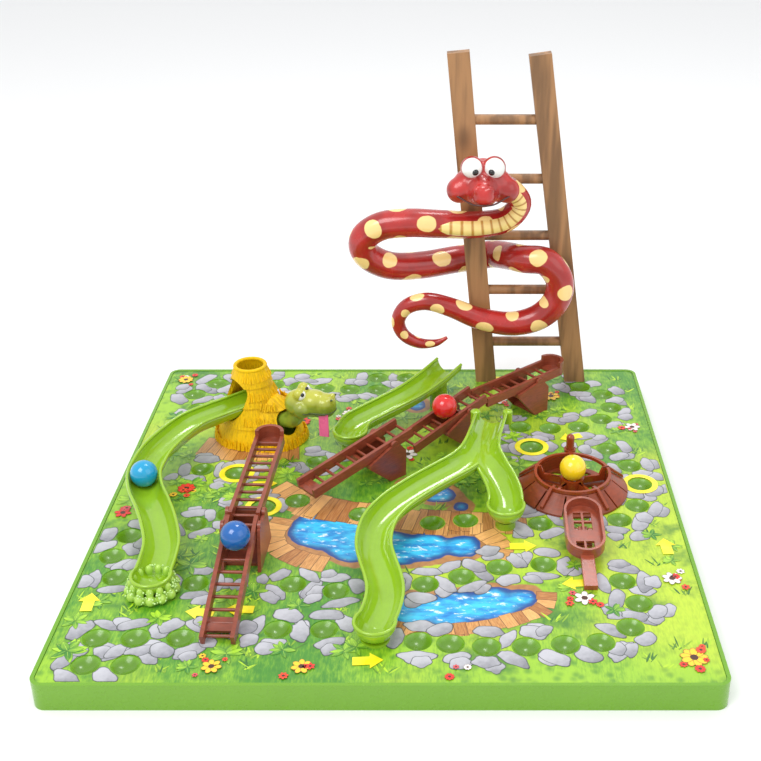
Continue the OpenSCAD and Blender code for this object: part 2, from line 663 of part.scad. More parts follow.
module foot_plate(low, inset) translate([-low + inset, -ladder_w / 2 + rail_t / 2, -rail_h / 2])
    cube([foot_plate_l, ladder_w - rail_t, foot_plate_t]);
module beam(low, high) {
    rails(low, high);
    beam_rungs(low, high);
    trunnions();
}
module on_trunnions(xy, turn, tilt) translate([xy[0], xy[1], deck + pivot_h]) rotate([0, 0, turn])
    rotate([0, -tilt, 0]) children();
module long_beam(k, tilt) on_trunnions(long_point(k * long_pitch, 0), long_turn, tilt) children();
module ladder_long_low() color(rust) long_beam(-1, long_low_tilt) {
    beam(long_foot_arm, long_high_arm);
    foot_plate(long_foot_arm, 0);
}
module ladder_long_middle() color(rust) long_beam(0, long_middle_tilt) beam(long_low_arm, long_high_arm);
module ladder_long_high() color(rust) long_beam(1, long_high_tilt) {
    beam(long_low_arm, long_end_arm);
    scoop(long_end_arm);
}
module ladder_left_low() color(rust) on_trunnions(left_point(left_pivot_1, 0), left_turn, left_tilt) {
    beam(left_low_arm, short_arm);
    foot_plate(left_low_arm, foot_plate_in);
}
module ladder_left_high() color(rust) on_trunnions(left_point(left_pivot_2, 0), left_turn, 0) {
    beam(short_arm, left_high_arm);
    scoop(left_high_arm);
}

// Thatched bell: tiers that hang over each other outside, a smooth wall inside
function bell(r, top, curve, s) = top + (r - top) * pow(1 - s, curve);
module bell_outer(r, top, h, curve, tiers) rotate_extrude() polygon(concat([[0, 0]],
    [for (i = [0:len(tiers) - 2]) each [
        [bell(r, top, curve, tiers[i]) + (i > 0 ? thatch_lip : 0), tiers[i] * h],
        [bell(r, top, curve, tiers[i + 1]), tiers[i + 1] * h]]],
    [[0, h]]));
module bell_inner(r, top, h, curve, tiers, lid) rotate_extrude() polygon(concat([[0, -over]],
    [[bell(r, top, curve, 0) - hut_wall, -over]],
    [for (s = tiers) [bell(r, top, curve, s) - hut_wall, s * (h - lid)]],
    [[top - hut_wall, h + over - lid * 2], [0, h + over - lid * 2]]));
module at(xy) translate([xy[0], xy[1], deck]) children();
module hut_shell() color(thatch) {
    difference() {
        union() {
            at(hut_xy) bell_outer(hut_r, hut_top_r, hut_h, hut_curve, tier_shares);
            at(porch_xy)
                bell_outer(porch_r, porch_r * porch_top_share, porch_h, porch_curve, porch_tier_shares);
        }
        at(hut_xy) bell_inner(hut_r, hut_top_r, hut_h, hut_curve, tier_shares, 0);
        at(porch_xy) bell_inner(porch_r, porch_r * porch_top_share, porch_h, porch_curve,
            porch_tier_shares, hut_wall);
        translate(hut_route[0]) rotate([0, door_fall, door_turn]) rotate([90, 0, 90])
            linear_extrude(hut_r + over) {
                circle(slide_ro + door_gap);
                translate([-door_w / 2, 0]) square([door_w, door_rise]);
                translate([0, door_rise]) circle(door_w / 2);
            }
        at(porch_xy) rotate(den_turn) translate([0, 0, den_h]) rotate([0, 90, 0])
            cylinder(d = den_d, h = hut_r);
    }
    for (p = hut_pegs) translate([p[0], p[1], deck]) cylinder(r = hut_pad_r, h = hut_pad_h);
    pegs(hut_pegs);
}

module hut_head_form() translate(hut_head) rotate(hut_head_turn) hull() {
    sphere(hut_head_r, $fn = 24);
    translate([hut_head_l, 0, -hut_head_r * 0.1]) sphere(hut_snout_r, $fn = 24);
}
module hut_eye_balls(gap) translate(hut_head) rotate(hut_head_turn)
    for (s = [-1, 1]) translate([hut_head_r * 0.35, s * hut_head_r * 0.5, hut_head_r * 0.82])
        sphere(hut_eye_r + gap);
module hut_tongue_form(gap) translate(hut_head) rotate(hut_head_turn)
    translate([hut_head_l - tongue_w / 2 - gap, -hut_snout_r * 0.75 - gap, -hut_snout_r / 2 - tongue_l - gap])
        cube([tongue_w + 2 * gap, tongue_t + 2 * gap, tongue_l + 2 * gap]);
module hut_snake() color("olivedrab") {
    difference() {
        union() {
            hut_head_form();
            body(neck_route, [for (p = neck_route) neck_r], climb_sides + 2, neck_side_share);
        }
        hut_eye_balls(peg_gap);
        hut_tongue_form(peg_gap);
    }
    at(neck_peg) cylinder(r = foot_r, h = neck_foot_t);
    pegs([neck_peg]);
}
module hut_snake_eyes() color("white") hut_eye_balls(0);
module hut_snake_tongue() color("deeppink") hut_tongue_form(0);

module wheel_base() color(rust) {
    at(wheel_xy) {
        difference() {
            union() {
                cylinder(r = wheel_wall_r, h = wheel_t);
                cylinder(r = wheel_boss_r, h = wheel_boss_h);
            }
            for (a = spoke_turns) rotate(a + 180 / len(spoke_turns)) translate([window_at, 0, -over])
                cylinder(r = window_r, h = wheel_t + 2 * over);
            translate([0, 0, -over]) cylinder(d = wheel_pin_d + 2 * run_gap, h = wheel_boss_h + 2 * over);
        }
        difference() {
            rotate_extrude() polygon([[wheel_wall_r - wheel_t, 0], [wheel_wall_r - wheel_t, wheel_wall_h],
                [wheel_wall_r, wheel_wall_h], [wheel_r, wheel_lip], [wheel_r, 0], [wheel_r - wheel_t, 0],
                [wheel_wall_r, wheel_wall_h - wheel_t], [wheel_wall_r, 0]]);
            for (k = [1:slit_count]) rotate(gap_to + k * (360 - gap_to + gap_from) / (slit_count + 1))
                translate([wheel_wall_r + slit_w / 2, -slit_w / 2, -over])
                    cube([wheel_r, slit_w, wheel_wall_h + 2 * over]);
            translate([0, 0, -over]) linear_extrude(wheel_wall_h + 2 * over) polygon(concat([[0, 0]],
                [for (a = [gap_from, (gap_from + gap_to) / 2, gap_to]) 2 * wheel_r * [cos(a), sin(a)]]));
        }
    }
    pegs(wheel_pegs);
}
module wheel_pin() color("silver") at(wheel_xy) {
    translate([0, 0, hub_gap]) cylinder(d = wheel_pin_d, h = wheel_boss_h + hub_web + hub_gap);
    translate([0, 0, wheel_boss_h + hub_web + 2 * hub_gap]) cylinder(r = pin_head_r, h = pin_head_t);
}
// Spoke in the plane of the wheel's radius: low inside the wall, over it, and down the skirt
module spoke() rotate([90, 0, 0]) translate([0, 0, -spoke_t / 2]) linear_extrude(spoke_t) polygon([
    [hub_r - hub_wall / 2, wheel_boss_h + hub_gap],
    [wheel_wall_r - wheel_t - spoke_clear, wheel_boss_h + hub_gap],
    [wheel_wall_r - wheel_t - spoke_clear, wheel_wall_h + spoke_clear],
    [wheel_wall_r + spoke_clear / 2, wheel_wall_h + spoke_clear],
    [wheel_r - spoke_clear, wheel_lip + 2 * spoke_clear],
    [wheel_r - spoke_clear, wheel_lip + spoke_clear + spoke_tip],
    [wheel_wall_r + spoke_clear, wheel_wall_h + spoke_clear + spoke_tip],
    [wheel_wall_r - wheel_t - spoke_tip, wheel_wall_h + spoke_clear + spoke_tip],
    [wheel_wall_r - wheel_t - 2 * spoke_tip, wheel_boss_h + hub_gap + spoke_h],
    [hub_r - hub_wall / 2, wheel_boss_h + hub_gap + spoke_h]]);
module wheel_spinner() color(orange_rust) at(wheel_xy) difference() {
    union() {
        translate([0, 0, wheel_boss_h + hub_gap]) difference() {
            cylinder(r = hub_r, h = hub_h);
            translate([0, 0, hub_web]) cylinder(r = hub_ri, h = hub_h);
        }
        for (a = spoke_turns) rotate(a) spoke();
        translate([0, 0, wheel_wall_h + spoke_clear]) difference() {
            cylinder(r = wheel_wall_r, h = spoke_tip);
            translate([0, 0, -over]) cylinder(r = wheel_wall_r - wheel_t, h = spoke_tip + 2 * over);
        }
        rotate(knob_turn) translate([knob_at, 0, wheel_wall_h + spoke_clear])
            cylinder(r = knob_pad_r, h = knob_pad_t);
    }
    cylinder(d = wheel_pin_d + 2 * run_gap, h = hub_top);
    rotate(knob_turn) translate([knob_at, 0, wheel_wall_h])
        cylinder(d = knob_tenon_d + 2 * peg_gap, h = wheel_wall_h);
}
module wheel_peg() color(rust) at(wheel_xy) rotate(knob_turn)
    translate([knob_at, 0, wheel_wall_h + spoke_clear]) {
        cylinder(d = knob_tenon_d, h = knob_pad_t + over);
        translate([0, 0, knob_pad_t]) cylinder(d = knob_d, h = knob_h - knob_d / 2);
        translate([0, 0, knob_pad_t + knob_h - knob_d / 2]) sphere(d = knob_d);
    }

// Catapult lever, level, with its pin at the origin and the wheel along +Y
module tub_outline(inset) translate([0, -tub_back + tub_w / 2]) {
    circle(tub_w / 2 - inset);
    translate([-tub_w / 2 + inset, 0]) square([tub_w - 2 * inset, tub_front + tub_back - tub_w]);
    translate([0, tub_front + tub_back - tub_w]) circle(tub_w / 2 - inset);
}
module catapult_level() {
    difference() {
        union() {
            translate([0, 0, tub_floor_z]) linear_extrude(tub_depth) tub_outline(0);
            translate([-handle_w / 2, -tub_back - handle_l, tub_floor_z])
                cube([handle_w, handle_l + tub_wall, handle_t]);
            translate([-lug_w / 2, 0, 0]) rotate([0, 90, 0]) cylinder(r = lug_r, h = lug_w);
            translate([-lug_w / 2, -lug_r, 0]) cube([lug_w, 2 * lug_r, tub_floor_z + tub_wall / 2]);
        }
        translate([0, 0, tub_floor_z + tub_wall]) linear_extrude(tub_depth) tub_outline(tub_wall);
        translate([-lug_w, 0, 0]) rotate([0, 90, 0]) cylinder(d = pin_d + 2 * run_gap, h = 2 * lug_w);
        for (x = [-1, 1], y = [-1, 1, 2]) translate([x * (lattice + lattice_bar) / 2 - lattice / 2,
            -lattice * 1.2 + y * (lattice + lattice_bar) * 1.3 - lattice, tub_floor_z - over])
            cube([lattice, lattice * 1.4, tub_wall + 2 * over]);
    }
}
catapult_tilt = asin((pin_h + tub_floor_z - seat_gap) / (tub_back + handle_l));
module catapult_lever() color(rust) translate([catapult_xy[0], catapult_xy[1], deck + pin_h])
    rotate([catapult_tilt, 0, 0]) catapult_level();
module catapult_stand() color(rust) {
    at(catapult_xy) difference() {
        union() {
            for (s = [-1, 1]) translate([s * (lug_w / 2 + side_gap + stand_t / 2) - stand_t / 2, 0, 0]) {
                translate([0, -stand_l / 2, 0]) cube([stand_t, stand_l, stand_floor_t]);
                translate([0, -lug_r, 0]) cube([stand_t, 2 * lug_r, pin_h]);
                translate([0, 0, pin_h]) rotate([0, 90, 0]) cylinder(r = lug_r, h = stand_t);
            }
            translate([-lug_w / 2 - side_gap - over, -stand_l / 2, 0])
                cube([lug_w + 2 * side_gap + 2 * over, stand_l, stand_floor_t]);
        }
        translate([-lug_w * 2, 0, pin_h]) rotate([0, 90, 0]) cylinder(d = pin_d + 2 * run_gap, h = lug_w * 4);
    }
    pegs(catapult_pegs);
}
module catapult_pin() color("silver") translate([catapult_xy[0], catapult_xy[1], deck + pin_h])
    rotate([0, 90, 0]) cylinder(d = pin_d, h = lug_w + 2 * side_gap + 2 * stand_t, center = true);

module bars(gap) for (share = bar_shares)
    translate([stile_x(-1, share) - gap, stand_xy[1], deck + share * stand_h]) rotate([0, 90, 0])
        cylinder(d = bar_d + 2 * gap, h = stile_x(1, share) - stile_x(-1, share) + 2 * gap);
module stile(s) color(wood) {
    difference() {
        translate([stile_foot(s), stand_xy[1], deck])
            rotate([0, atan2(stile_top(s) - stile_foot(s), stand_h), 0])
                translate([-stile_w / 2, -stile_d / 2, -stile_w]) cube([stile_w, stile_d, stand_h + stile_w]);
        translate([stile_foot(s) - board_w / 2, stand_xy[1] - stile_d, deck - 2 * stile_w])
            cube([board_w, 2 * stile_d, 2 * stile_w]);
        bars(peg_gap);
    }
    stile_tenon(s, 0);
}
module stile_left() stile(-1);
module stile_right() stile(1);
module rungs() color(wood) bars(0);

module climb_head_form() translate(climb_head) hull() {
    sphere(climb_head_r, $fn = 24);
    for (s = [-1, 1]) translate([s * climb_cheek_x, -climb_head_r * 0.4, -climb_head_r * 0.35])
        sphere(climb_cheek_r, $fn = 24);
    translate([0, -climb_snout_l, -climb_head_r * 0.3]) sphere(climb_snout_r, $fn = 24);
}
module climb_eye_balls(gap) for (s = [-1, 1])
    translate(climb_head + [s * climb_eye_r * 1.05, -climb_head_r * 0.5, climb_head_r * 0.85])
        sphere(climb_eye_r + gap);
module climbing_snake() color("firebrick") difference() {
    union() {
        body(climb_route, [for (q = climb_points) q[3]], climb_sides, climb_side_share);
        climb_head_form();
    }
    climb_eye_balls(peg_gap);
}
module climbing_snake_eyes() color("white") climb_eye_balls(0);

module ball(p) translate(p) sphere(ball_r, $fn = 64);
module ball_cyan() color("deepskyblue")
    ball(hut_route[cyan_at * route_steps] + [0, 0, 2 * seat_gap + ball_r - slide_ri]);
module ball_blue() color("royalblue")
    on_trunnions(left_point(left_pivot_1, 0), left_turn, left_tilt) ball([-left_pitch, 0, ball_on_rails]);
module ball_red() color("red")
    long_beam(0, long_middle_tilt) ball([-1.5 * ball_r, 0, ball_on_rails]);
module ball_yellow() color("gold") at(wheel_xy) ball([0, 0, ball_on_hub]);

tray();
print_sheet();
hut_shell();
hut_snake();
hut_snake_eyes();
hut_snake_tongue();
slide_hut();
slide_back();
slide_back_posts();
slide_fork();
slide_fork_posts();
trestle_left();
ladder_left_low();
ladder_left_high();
trestle_front();
trestle_middle();
trestle_back();
ladder_long_low();
ladder_long_middle();
ladder_long_high();
wheel_base();
wheel_pin();
wheel_spinner();
wheel_peg();
catapult_stand();
catapult_pin();
catapult_lever();
stile_left();
stile_right();
rungs();
climbing_snake();
climbing_snake_eyes();
ball_cyan();
ball_blue();
ball_red();
ball_yellow();
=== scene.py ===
import math
import random
from functools import reduce

import bmesh
import bpy
from bpy.props import FloatProperty, FloatVectorProperty, IntProperty, PointerProperty
from mathutils import Matrix, Vector


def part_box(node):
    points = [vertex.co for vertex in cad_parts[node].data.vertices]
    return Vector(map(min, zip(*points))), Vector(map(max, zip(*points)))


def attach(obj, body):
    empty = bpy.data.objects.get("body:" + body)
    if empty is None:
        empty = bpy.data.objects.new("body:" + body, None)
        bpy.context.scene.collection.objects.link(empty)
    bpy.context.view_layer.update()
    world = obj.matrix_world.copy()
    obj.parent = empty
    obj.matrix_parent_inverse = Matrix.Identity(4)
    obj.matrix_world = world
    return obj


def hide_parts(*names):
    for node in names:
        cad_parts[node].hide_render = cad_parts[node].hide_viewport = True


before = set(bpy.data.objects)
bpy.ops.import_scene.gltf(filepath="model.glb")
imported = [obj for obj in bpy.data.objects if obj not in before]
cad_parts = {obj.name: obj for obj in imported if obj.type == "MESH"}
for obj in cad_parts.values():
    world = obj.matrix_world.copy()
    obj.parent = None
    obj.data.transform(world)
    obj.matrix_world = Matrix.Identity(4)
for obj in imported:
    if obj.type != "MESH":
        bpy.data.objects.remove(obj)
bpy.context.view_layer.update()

bl_info = {
    "name": "Snakes and ladders board",
    "version": (1, 0, 0),
    "blender": (4, 5, 0),
    "location": "View3D > Sidebar > Board",
    "description": "Dresses a marble-run snakes and ladders board in moulded plastic, print and thatch",
    "category": "Object",
}

MM = 0.001
BOARD = 400 * MM
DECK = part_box("print_sheet")[1].z

# Places on the board, as shares of its width from its middle
CUP_SHARES = [
    (-0.428, -0.455), (-0.37, -0.455), (-0.428, -0.395), (-0.37, -0.395), (-0.302, -0.395),
    (-0.16, -0.375), (-0.09, -0.375), (0.052, -0.402), (0.1, -0.408), (0.153, -0.415),
    (0.212, -0.415), (0.27, -0.41), (0.323, -0.405), (0.372, -0.37),
    (0.393, -0.312), (0.375, -0.255), (0.252, -0.21), (0.18, -0.218), (0.118, -0.243),
    (0.06, -0.263), (-0.08, -0.28), (-0.15, -0.263), (-0.305, -0.26), (-0.437, -0.245),
    (-0.457, -0.187), (-0.443, -0.128), (-0.338, -0.092), (-0.285, -0.063), (-0.228, -0.04),
    (-0.17, -0.02), (-0.055, -0.063), (0.07, -0.09), (0.127, -0.082), (0.255, -0.092),
    (0.393, -0.08), (0.43, -0.035), (0.445, 0.035), (0.435, 0.1), (0.402, 0.162), (0.257, 0.168),
    (0.24, 0.248), (0.298, 0.242), (0.355, 0.248), (0.403, 0.28), (0.428, 0.328),
    (0.418, 0.385), (0.375, 0.42),
    (-0.148, 0.112), (-0.292, 0.072), (-0.358, 0.087), (-0.41, 0.325), (-0.428, 0.385),
    (-0.39, 0.435), (-0.33, 0.442), (-0.27, 0.43), (-0.215, 0.42), (-0.162, 0.412),
    (-0.108, 0.408), (-0.05, 0.408), (-0.052, 0.462), (0.01, 0.462),
]
# Cups with a yellow ring, and cups on the boardwalk, which have no stones round them
RINGED_CUPS = (28, 36, 39, 48)
BARE_CUPS = (29, 30, 31, 32)
# Middle and radius of each pond's rounds, as shares of the board's width
POND_SHARES = [
    [(-0.115, -0.112, 0.06), (-0.055, -0.135, 0.062), (0.01, -0.165, 0.052), (0.06, -0.16, 0.045),
     (0.12, -0.155, 0.036)],
    [(0.04, -0.33, 0.05), (0.105, -0.325, 0.048), (0.165, -0.315, 0.042), (0.215, -0.3, 0.026)],
    [(0.04, 0.035, 0.028), (0.082, 0.0, 0.03), (0.12, -0.04, 0.02)],
    [(0.03, 0.34, 0.02), (0.11, 0.27, 0.02)],
]
# Boardwalks: half a plank's length, then the places that the walk runs through, as shares
WALK_SHARES = [
    (0.036, [(-0.212, 0.012), (-0.17, -0.022), (-0.11, -0.047), (-0.03, -0.066), (0.06, -0.086),
             (0.15, -0.09), (0.235, -0.086)]),
    (0.022, [(-0.19, -0.085), (-0.2, -0.125), (-0.185, -0.165), (-0.145, -0.195), (-0.095, -0.213)]),
    (0.015, [(-0.022, -0.3), (-0.018, -0.345), (0.02, -0.372), (0.08, -0.378), (0.14, -0.37), (0.2, -0.35),
             (0.243, -0.325), (0.252, -0.285)]),
    (0.02, [(0.163, -0.125), (0.185, -0.16), (0.175, -0.198)]),
    (0.036, [(-0.365, 0.17), (-0.28, 0.15), (-0.185, 0.155)]),
]
# Place and heading in degrees of each yellow arrow
ARROW_SHARES = [
    (-0.285, -0.335, 176), (-0.02, -0.447, 4), (0.222, -0.16, 2), (0.3, -0.262, 184), (0.46, -0.16, 92),
    (0.335, 0.205, 200), (-0.385, 0.262, 78), (-0.235, 0.035, 4), (0.19, 0.455, 182), (-0.225, -0.328, 178),
    (-0.462, -0.31, 92),
]
FLOWER_SHARES = [
    (-0.375, 0.02), (-0.255, -0.135), (-0.47, -0.06), (-0.245, -0.46), (0.12, -0.47), (0.455, -0.44),
    (0.35, -0.005), (0.46, 0.245), (0.2, 0.36), (-0.46, 0.45), (-0.2, 0.36), (-0.1, 0.3), (-0.465, 0.12),
    (-0.115, -0.46), (0.455, -0.25), (0.31, -0.3), (-0.25, -0.19), (0.02, 0.14), (-0.19, 0.27), (0.31, 0.375),
]
LOOSE_STONES = [
    (-0.232, -0.385), (-0.2, -0.4), (-0.035, -0.37), (0.005, -0.385), (-0.26, -0.405), (0.345, -0.42),
    (-0.36, -0.235), (-0.235, -0.265), (-0.2, -0.25), (-0.115, -0.3), (0.215, 0.2), (0.22, 0.285),
    (-0.25, 0.09), (-0.2, 0.1), (-0.1, 0.125), (0.33, 0.175), (0.36, 0.13), (-0.41, 0.06), (0.05, 0.43),
    (-0.43, 0.3), (-0.375, 0.37), (0.33, 0.42), (0.29, 0.43), (0.38, -0.13), (0.42, -0.13), (0.3, -0.23),
    (0.215, 0.12),
]
CUPS = [Vector(share) * BOARD for share in CUP_SHARES]
# Radius of the hole in the print over a cup, and the bare margin at the sheet's edge
CUP_REACH = 8.9 * MM
SHEET_MARGIN = 3.6 * MM
RING_R, RING_EDGE_R = 12.4 * MM, 13 * MM
# In millimetres, how far each kind of drawn shape lies above the sheet, and how far one step more lifts it
LIFTS = {"tufts": (0.015, 0.003), "planks": (0.02, 0.012), "stones": (0.12, 0.02), "leaves": (0.2, 0.008),
         "arrows": (0.5, 0), "rings": (0.52, 0), "flowers": (0.55, 0.005)}

# Slides: places as shares of the board's width, then the share of the drop that is left
HUT_SLIDE = [
    (-0.28, 0.228, 1), (-0.312, 0.203, 0.96), (-0.345, 0.179, 0.92), (-0.381, 0.151, 0.84),
    (-0.407, 0.108, 0.76), (-0.427, 0.06, 0.68), (-0.435, 0.015, 0.6), (-0.436, -0.02, 0.52),
    (-0.424, -0.061, 0.44), (-0.405, -0.1, 0.36), (-0.385, -0.147, 0.26), (-0.369, -0.198, 0.15),
    (-0.366, -0.244, 0.07), (-0.368, -0.283, 0),
]
BACK_SLIDE = [
    (0.098, 0.37, 1), (0.065, 0.315, 0.88), (0.029, 0.27, 0.7), (-0.01, 0.236, 0.5),
    (-0.046, 0.209, 0.3), (-0.076, 0.183, 0.12), (-0.087, 0.147, 0),
]
FORK_LONG = [
    (0.178, 0.145, 1), (0.163, 0.07, 0.96), (0.147, 0.022, 0.88), (0.124, -0.008, 0.79),
    (0.092, -0.034, 0.7), (0.052, -0.066, 0.59), (0.013, -0.105, 0.48), (-0.012, -0.143, 0.38),
    (-0.022, -0.18, 0.3), (-0.023, -0.217, 0.22), (-0.015, -0.253, 0.15), (-0.005, -0.289, 0.09),
    (0, -0.323, 0.05), (-0.003, -0.36, 0.02), (-0.012, -0.397, 0),
]
FORK_SHORT = [
    (0.163, 0.07, 0.95), (0.16, 0.03, 0.84), (0.17, -0.005, 0.68), (0.184, -0.035, 0.45),
    (0.194, -0.066, 0.2), (0.195, -0.098, 0),
]
# Outer radius, wall and lip of a channel, and outer radius of a bowl
SLIDE_RO, SLIDE_WALL, LIP_R = 12 * MM, 1.6 * MM, 1.15 * MM
BOWL_RO = SLIDE_RO + 1.2 * MM
# How far the hut's slide is drawn back into the hut
HUT_LEAD = 9.8 * MM
# Rim heights of the slides above the board, at their tops and at their bowls
HUT_HIGH, BACK_HIGH, BACK_LOW, FORK_HIGH, FORK_LOW = 32 * MM, 33 * MM, 20 * MM, 36 * MM, 17 * MM

HUT_XY = Vector((-0.28, 0.228)) * BOARD
PORCH_XY = HUT_XY + Vector((0.04, -0.0175)) * BOARD
HUT_H = 59 * MM
# The hut's shells: middle, radius at the foot and at the top, height, and bend of the side
HUT_SHELL = (HUT_XY, 30 * MM, 12.2 * MM, HUT_H, 1.25)
PORCH_SHELL = (PORCH_XY, 25 * MM, 5 * MM, 36 * MM, 0.55)

STAND_XY = Vector((0.272, 0.455)) * BOARD
STAND_H = 276 * MM
SNAKE_R = 11.3 * MM
CLIMB_REACH = 17.4 * MM
# The climbing snake's run as shares of the ladder's height and of its reach, then its girth as a share
CLIMB = [
    (-0.256, -0.95, 0.17, 0.12), (-0.292, -0.95, 0.152, 0.28), (-0.343, -0.95, 0.153, 0.4),
    (-0.387, -0.95, 0.182, 0.47), (-0.4, -0.95, 0.229, 0.52), (-0.372, -0.97, 0.272, 0.58),
    (-0.314, -1, 0.288, 0.65), (-0.242, -1, 0.268, 0.72), (-0.162, -1, 0.234, 0.8),
    (-0.068, -1, 0.217, 0.88), (0.012, -1, 0.238, 0.95), (0.062, -1.02, 0.29, 1),
    (0.07, -1.02, 0.355, 1), (0.03, -0.95, 0.41, 1), (-0.033, -0.65, 0.412, 1),
    (-0.076, 0.25, 0.4, 1), (-0.118, 0.98, 0.388, 1), (-0.163, 1.05, 0.38, 1),
    (-0.235, 1, 0.37, 1), (-0.33, 0.35, 0.369, 1), (-0.423, -0.3, 0.383, 1),
    (-0.488, -0.6, 0.424, 1), (-0.496, -0.8, 0.478, 1), (-0.445, -0.92, 0.518, 1),
    (-0.365, -1, 0.53, 1), (-0.271, -1.02, 0.527, 0.98), (-0.17, -1.05, 0.526, 0.94),
    (-0.09, -1.05, 0.542, 0.88), (-0.052, -1.05, 0.588, 0.82), (-0.08, -1.2, 0.632, 0.8),
    (-0.125, -1.5, 0.655, 0.8), (-0.158, -1.7, 0.667, 0.8),
]
CLIMB_HEAD_R = 15 * MM
# Swellings in pairs on the snakes' heads, in millimetres from the head's middle: place, then radius
CLIMB_PAIRS = [(18, -6, -5.2, 10), (10, -3, -2.2, 13), (8.4, -6.5, 12.4, 9), (4.8, -25.5, 0.8, 3.6)]
HUT_PAIRS = [(2.8, 5.3, 9.9, 4.6), (26, 3.8, 6.4, 2.4), (5, 6.8, -2, 7)]
# Where the hut's straw leaves room: the door's half width, foot, top and the fall of its arch, and the
# height, radius and heading in degrees of the den that the snake looks out of
DOOR_HALF, DOOR_FOOT, DOOR_TOP, DOOR_FALL = 15 * MM, 16 * MM, 54 * MM, 0.4
DEN_H, DEN_R, DEN_HEADING = 19 * MM, 12 * MM, -40


# Shader work


class Socket:
    """A socket of a material. Arithmetic on it adds Math nodes."""

    def __init__(self, tree, source=None):
        self.tree, self.source = tree, source

    def node(self, kind, settings=(), inputs=(), output=0):
        """One node of any type: its settings come first, then the values or links of its sockets."""
        made = self.tree.nodes.new(kind)
        for name, value in dict(settings).items():
            if name == "stops":
                ramp = made.color_ramp.elements
                while len(ramp) < len(value):
                    ramp.new(0.5)
                for stop, (at, colour) in zip(ramp, value):
                    stop.position, stop.color = at, (*colour, 1)
            else:
                setattr(made, name, value)
        for key, value in dict(inputs).items():
            if isinstance(value, Socket):
                self.tree.links.new(value.source, made.inputs[key])
            else:
                made.inputs[key].default_value = value
        return Socket(self.tree, made.outputs[output])

    def math(self, operation, *others):
        """This number, and the others after it, through a Math node."""
        return self.node("ShaderNodeMath", {"operation": operation}, enumerate((self, *others)))

    def __add__(self, other):
        return self.math("ADD", other)

    __radd__ = __add__

    def __sub__(self, other):
        return self.math("SUBTRACT", other)

    def __rsub__(self, other):
        return self * -1 + other

    def __mul__(self, other):
        return self.math("MULTIPLY", other)

    __rmul__ = __mul__

    def __lt__(self, other):
        return self.math("LESS_THAN", other)

    def least(self, other):
        return self.math("MINIMUM", other)

    def most(self, other):
        return self.math("MAXIMUM", other)

    def size(self):
        return self.math("ABSOLUTE")

    def fade(self, start, end):
        """0 below start, 1 past end, smooth between them."""
        return self.node("ShaderNodeMapRange", {"interpolation_type": "SMOOTHSTEP"},
                         {"Value": self, "From Min": start, "From Max": end})

    def parts(self):
        """The X, Y and Z of a vector."""
        return [self.node("ShaderNodeSeparateXYZ", (), {0: self}, k) for k in range(3)]

    def placed(self, centre=(0, 0, 0), scale=(1, 1, 1), turn=(0, 0, 0)):
        """A vector moved so that centre is its origin, then scaled, then turned."""
        moved = self.node("ShaderNodeVectorMath", {"operation": "SUBTRACT"}, {0: self, 1: centre})
        return moved.node("ShaderNodeMapping", (), {0: moved, 2: turn, 3: scale})

    def away(self, point):
        return self.node("ShaderNodeVectorMath", {"operation": "DISTANCE"}, {0: self, 1: point}, 1)

    def noise(self, scale, detail=3, rough=0.5):
        return self.node("ShaderNodeTexNoise", (),
                         {"Vector": self, "Scale": scale, "Detail": detail, "Roughness": rough})

    def cells(self, scale):
        return self.node("ShaderNodeTexVoronoi", (), {"Vector": self, "Scale": scale})

    def shades(self, colour, low, high):
        """The colour between two strengths of it."""
        return self.mix(shade(colour, low), shade(colour, high))

    def ramp(self, *stops):
        """A colour for each share between 0 and 1."""
        return self.node("ShaderNodeValToRGB", {"stops": stops}, {0: self})

    def mix(self, low, high):
        """A colour between low and high, with this as the share of high."""
        low, high = (c if isinstance(c, Socket) else (*c, 1) for c in (low, high))
        return self.node("ShaderNodeMix", {"data_type": "RGBA"}, {0: self, 6: low, 7: high}, 2)


class Finish:
    """A material, with its shader's sockets and its surface coordinates."""

    def __init__(self, name, slot, **fixed):
        self.material = bpy.data.materials.new(name)
        self.material.use_nodes = True
        self.slot = slot
        tree = self.material.node_tree
        self.shader = next(n for n in tree.nodes if n.type == "BSDF_PRINCIPLED")
        self.start = Socket(tree)
        self.place = self.start.node("ShaderNodeTexCoord", output=3)
        self.uv = self.start.node("ShaderNodeTexCoord", output=2)
        for key, value in fixed.items():
            self.shader.inputs[key.replace("_", " ")].default_value = value

    def from_middle(self):
        """On a round drawn shape: onward of its middle, aside of it, and the share of the way to its edge."""
        onward, aside = self.uv.placed(centre=(0.5, 0.5, 0), scale=(2, 2, 1)).parts()[:2]
        return onward, aside, (onward * onward + aside * aside).math("SQRT")

    def read(self, attribute):
        """A number stored on the mesh under this name."""
        return self.start.node("ShaderNodeAttribute", {"attribute_name": attribute}, output=2)

    def set(self, **links):
        for key, value in links.items():
            target = self.shader.inputs[key.replace("_", " ")]
            if isinstance(value, Socket):
                value.tree.links.new(value.source, target)
            else:
                target.default_value = value if not isinstance(value, tuple) else (*value, 1)

    def bump(self, height, depth, strength=1.0):
        """Turns a height between 0 and 1 into a bump that is depth deep."""
        self.set(Normal=height.node("ShaderNodeBump", (),
                                    {"Strength": strength, "Distance": depth, "Height": height}))


def shade(colour, factor):
    return tuple(min(1, c * factor) for c in colour)


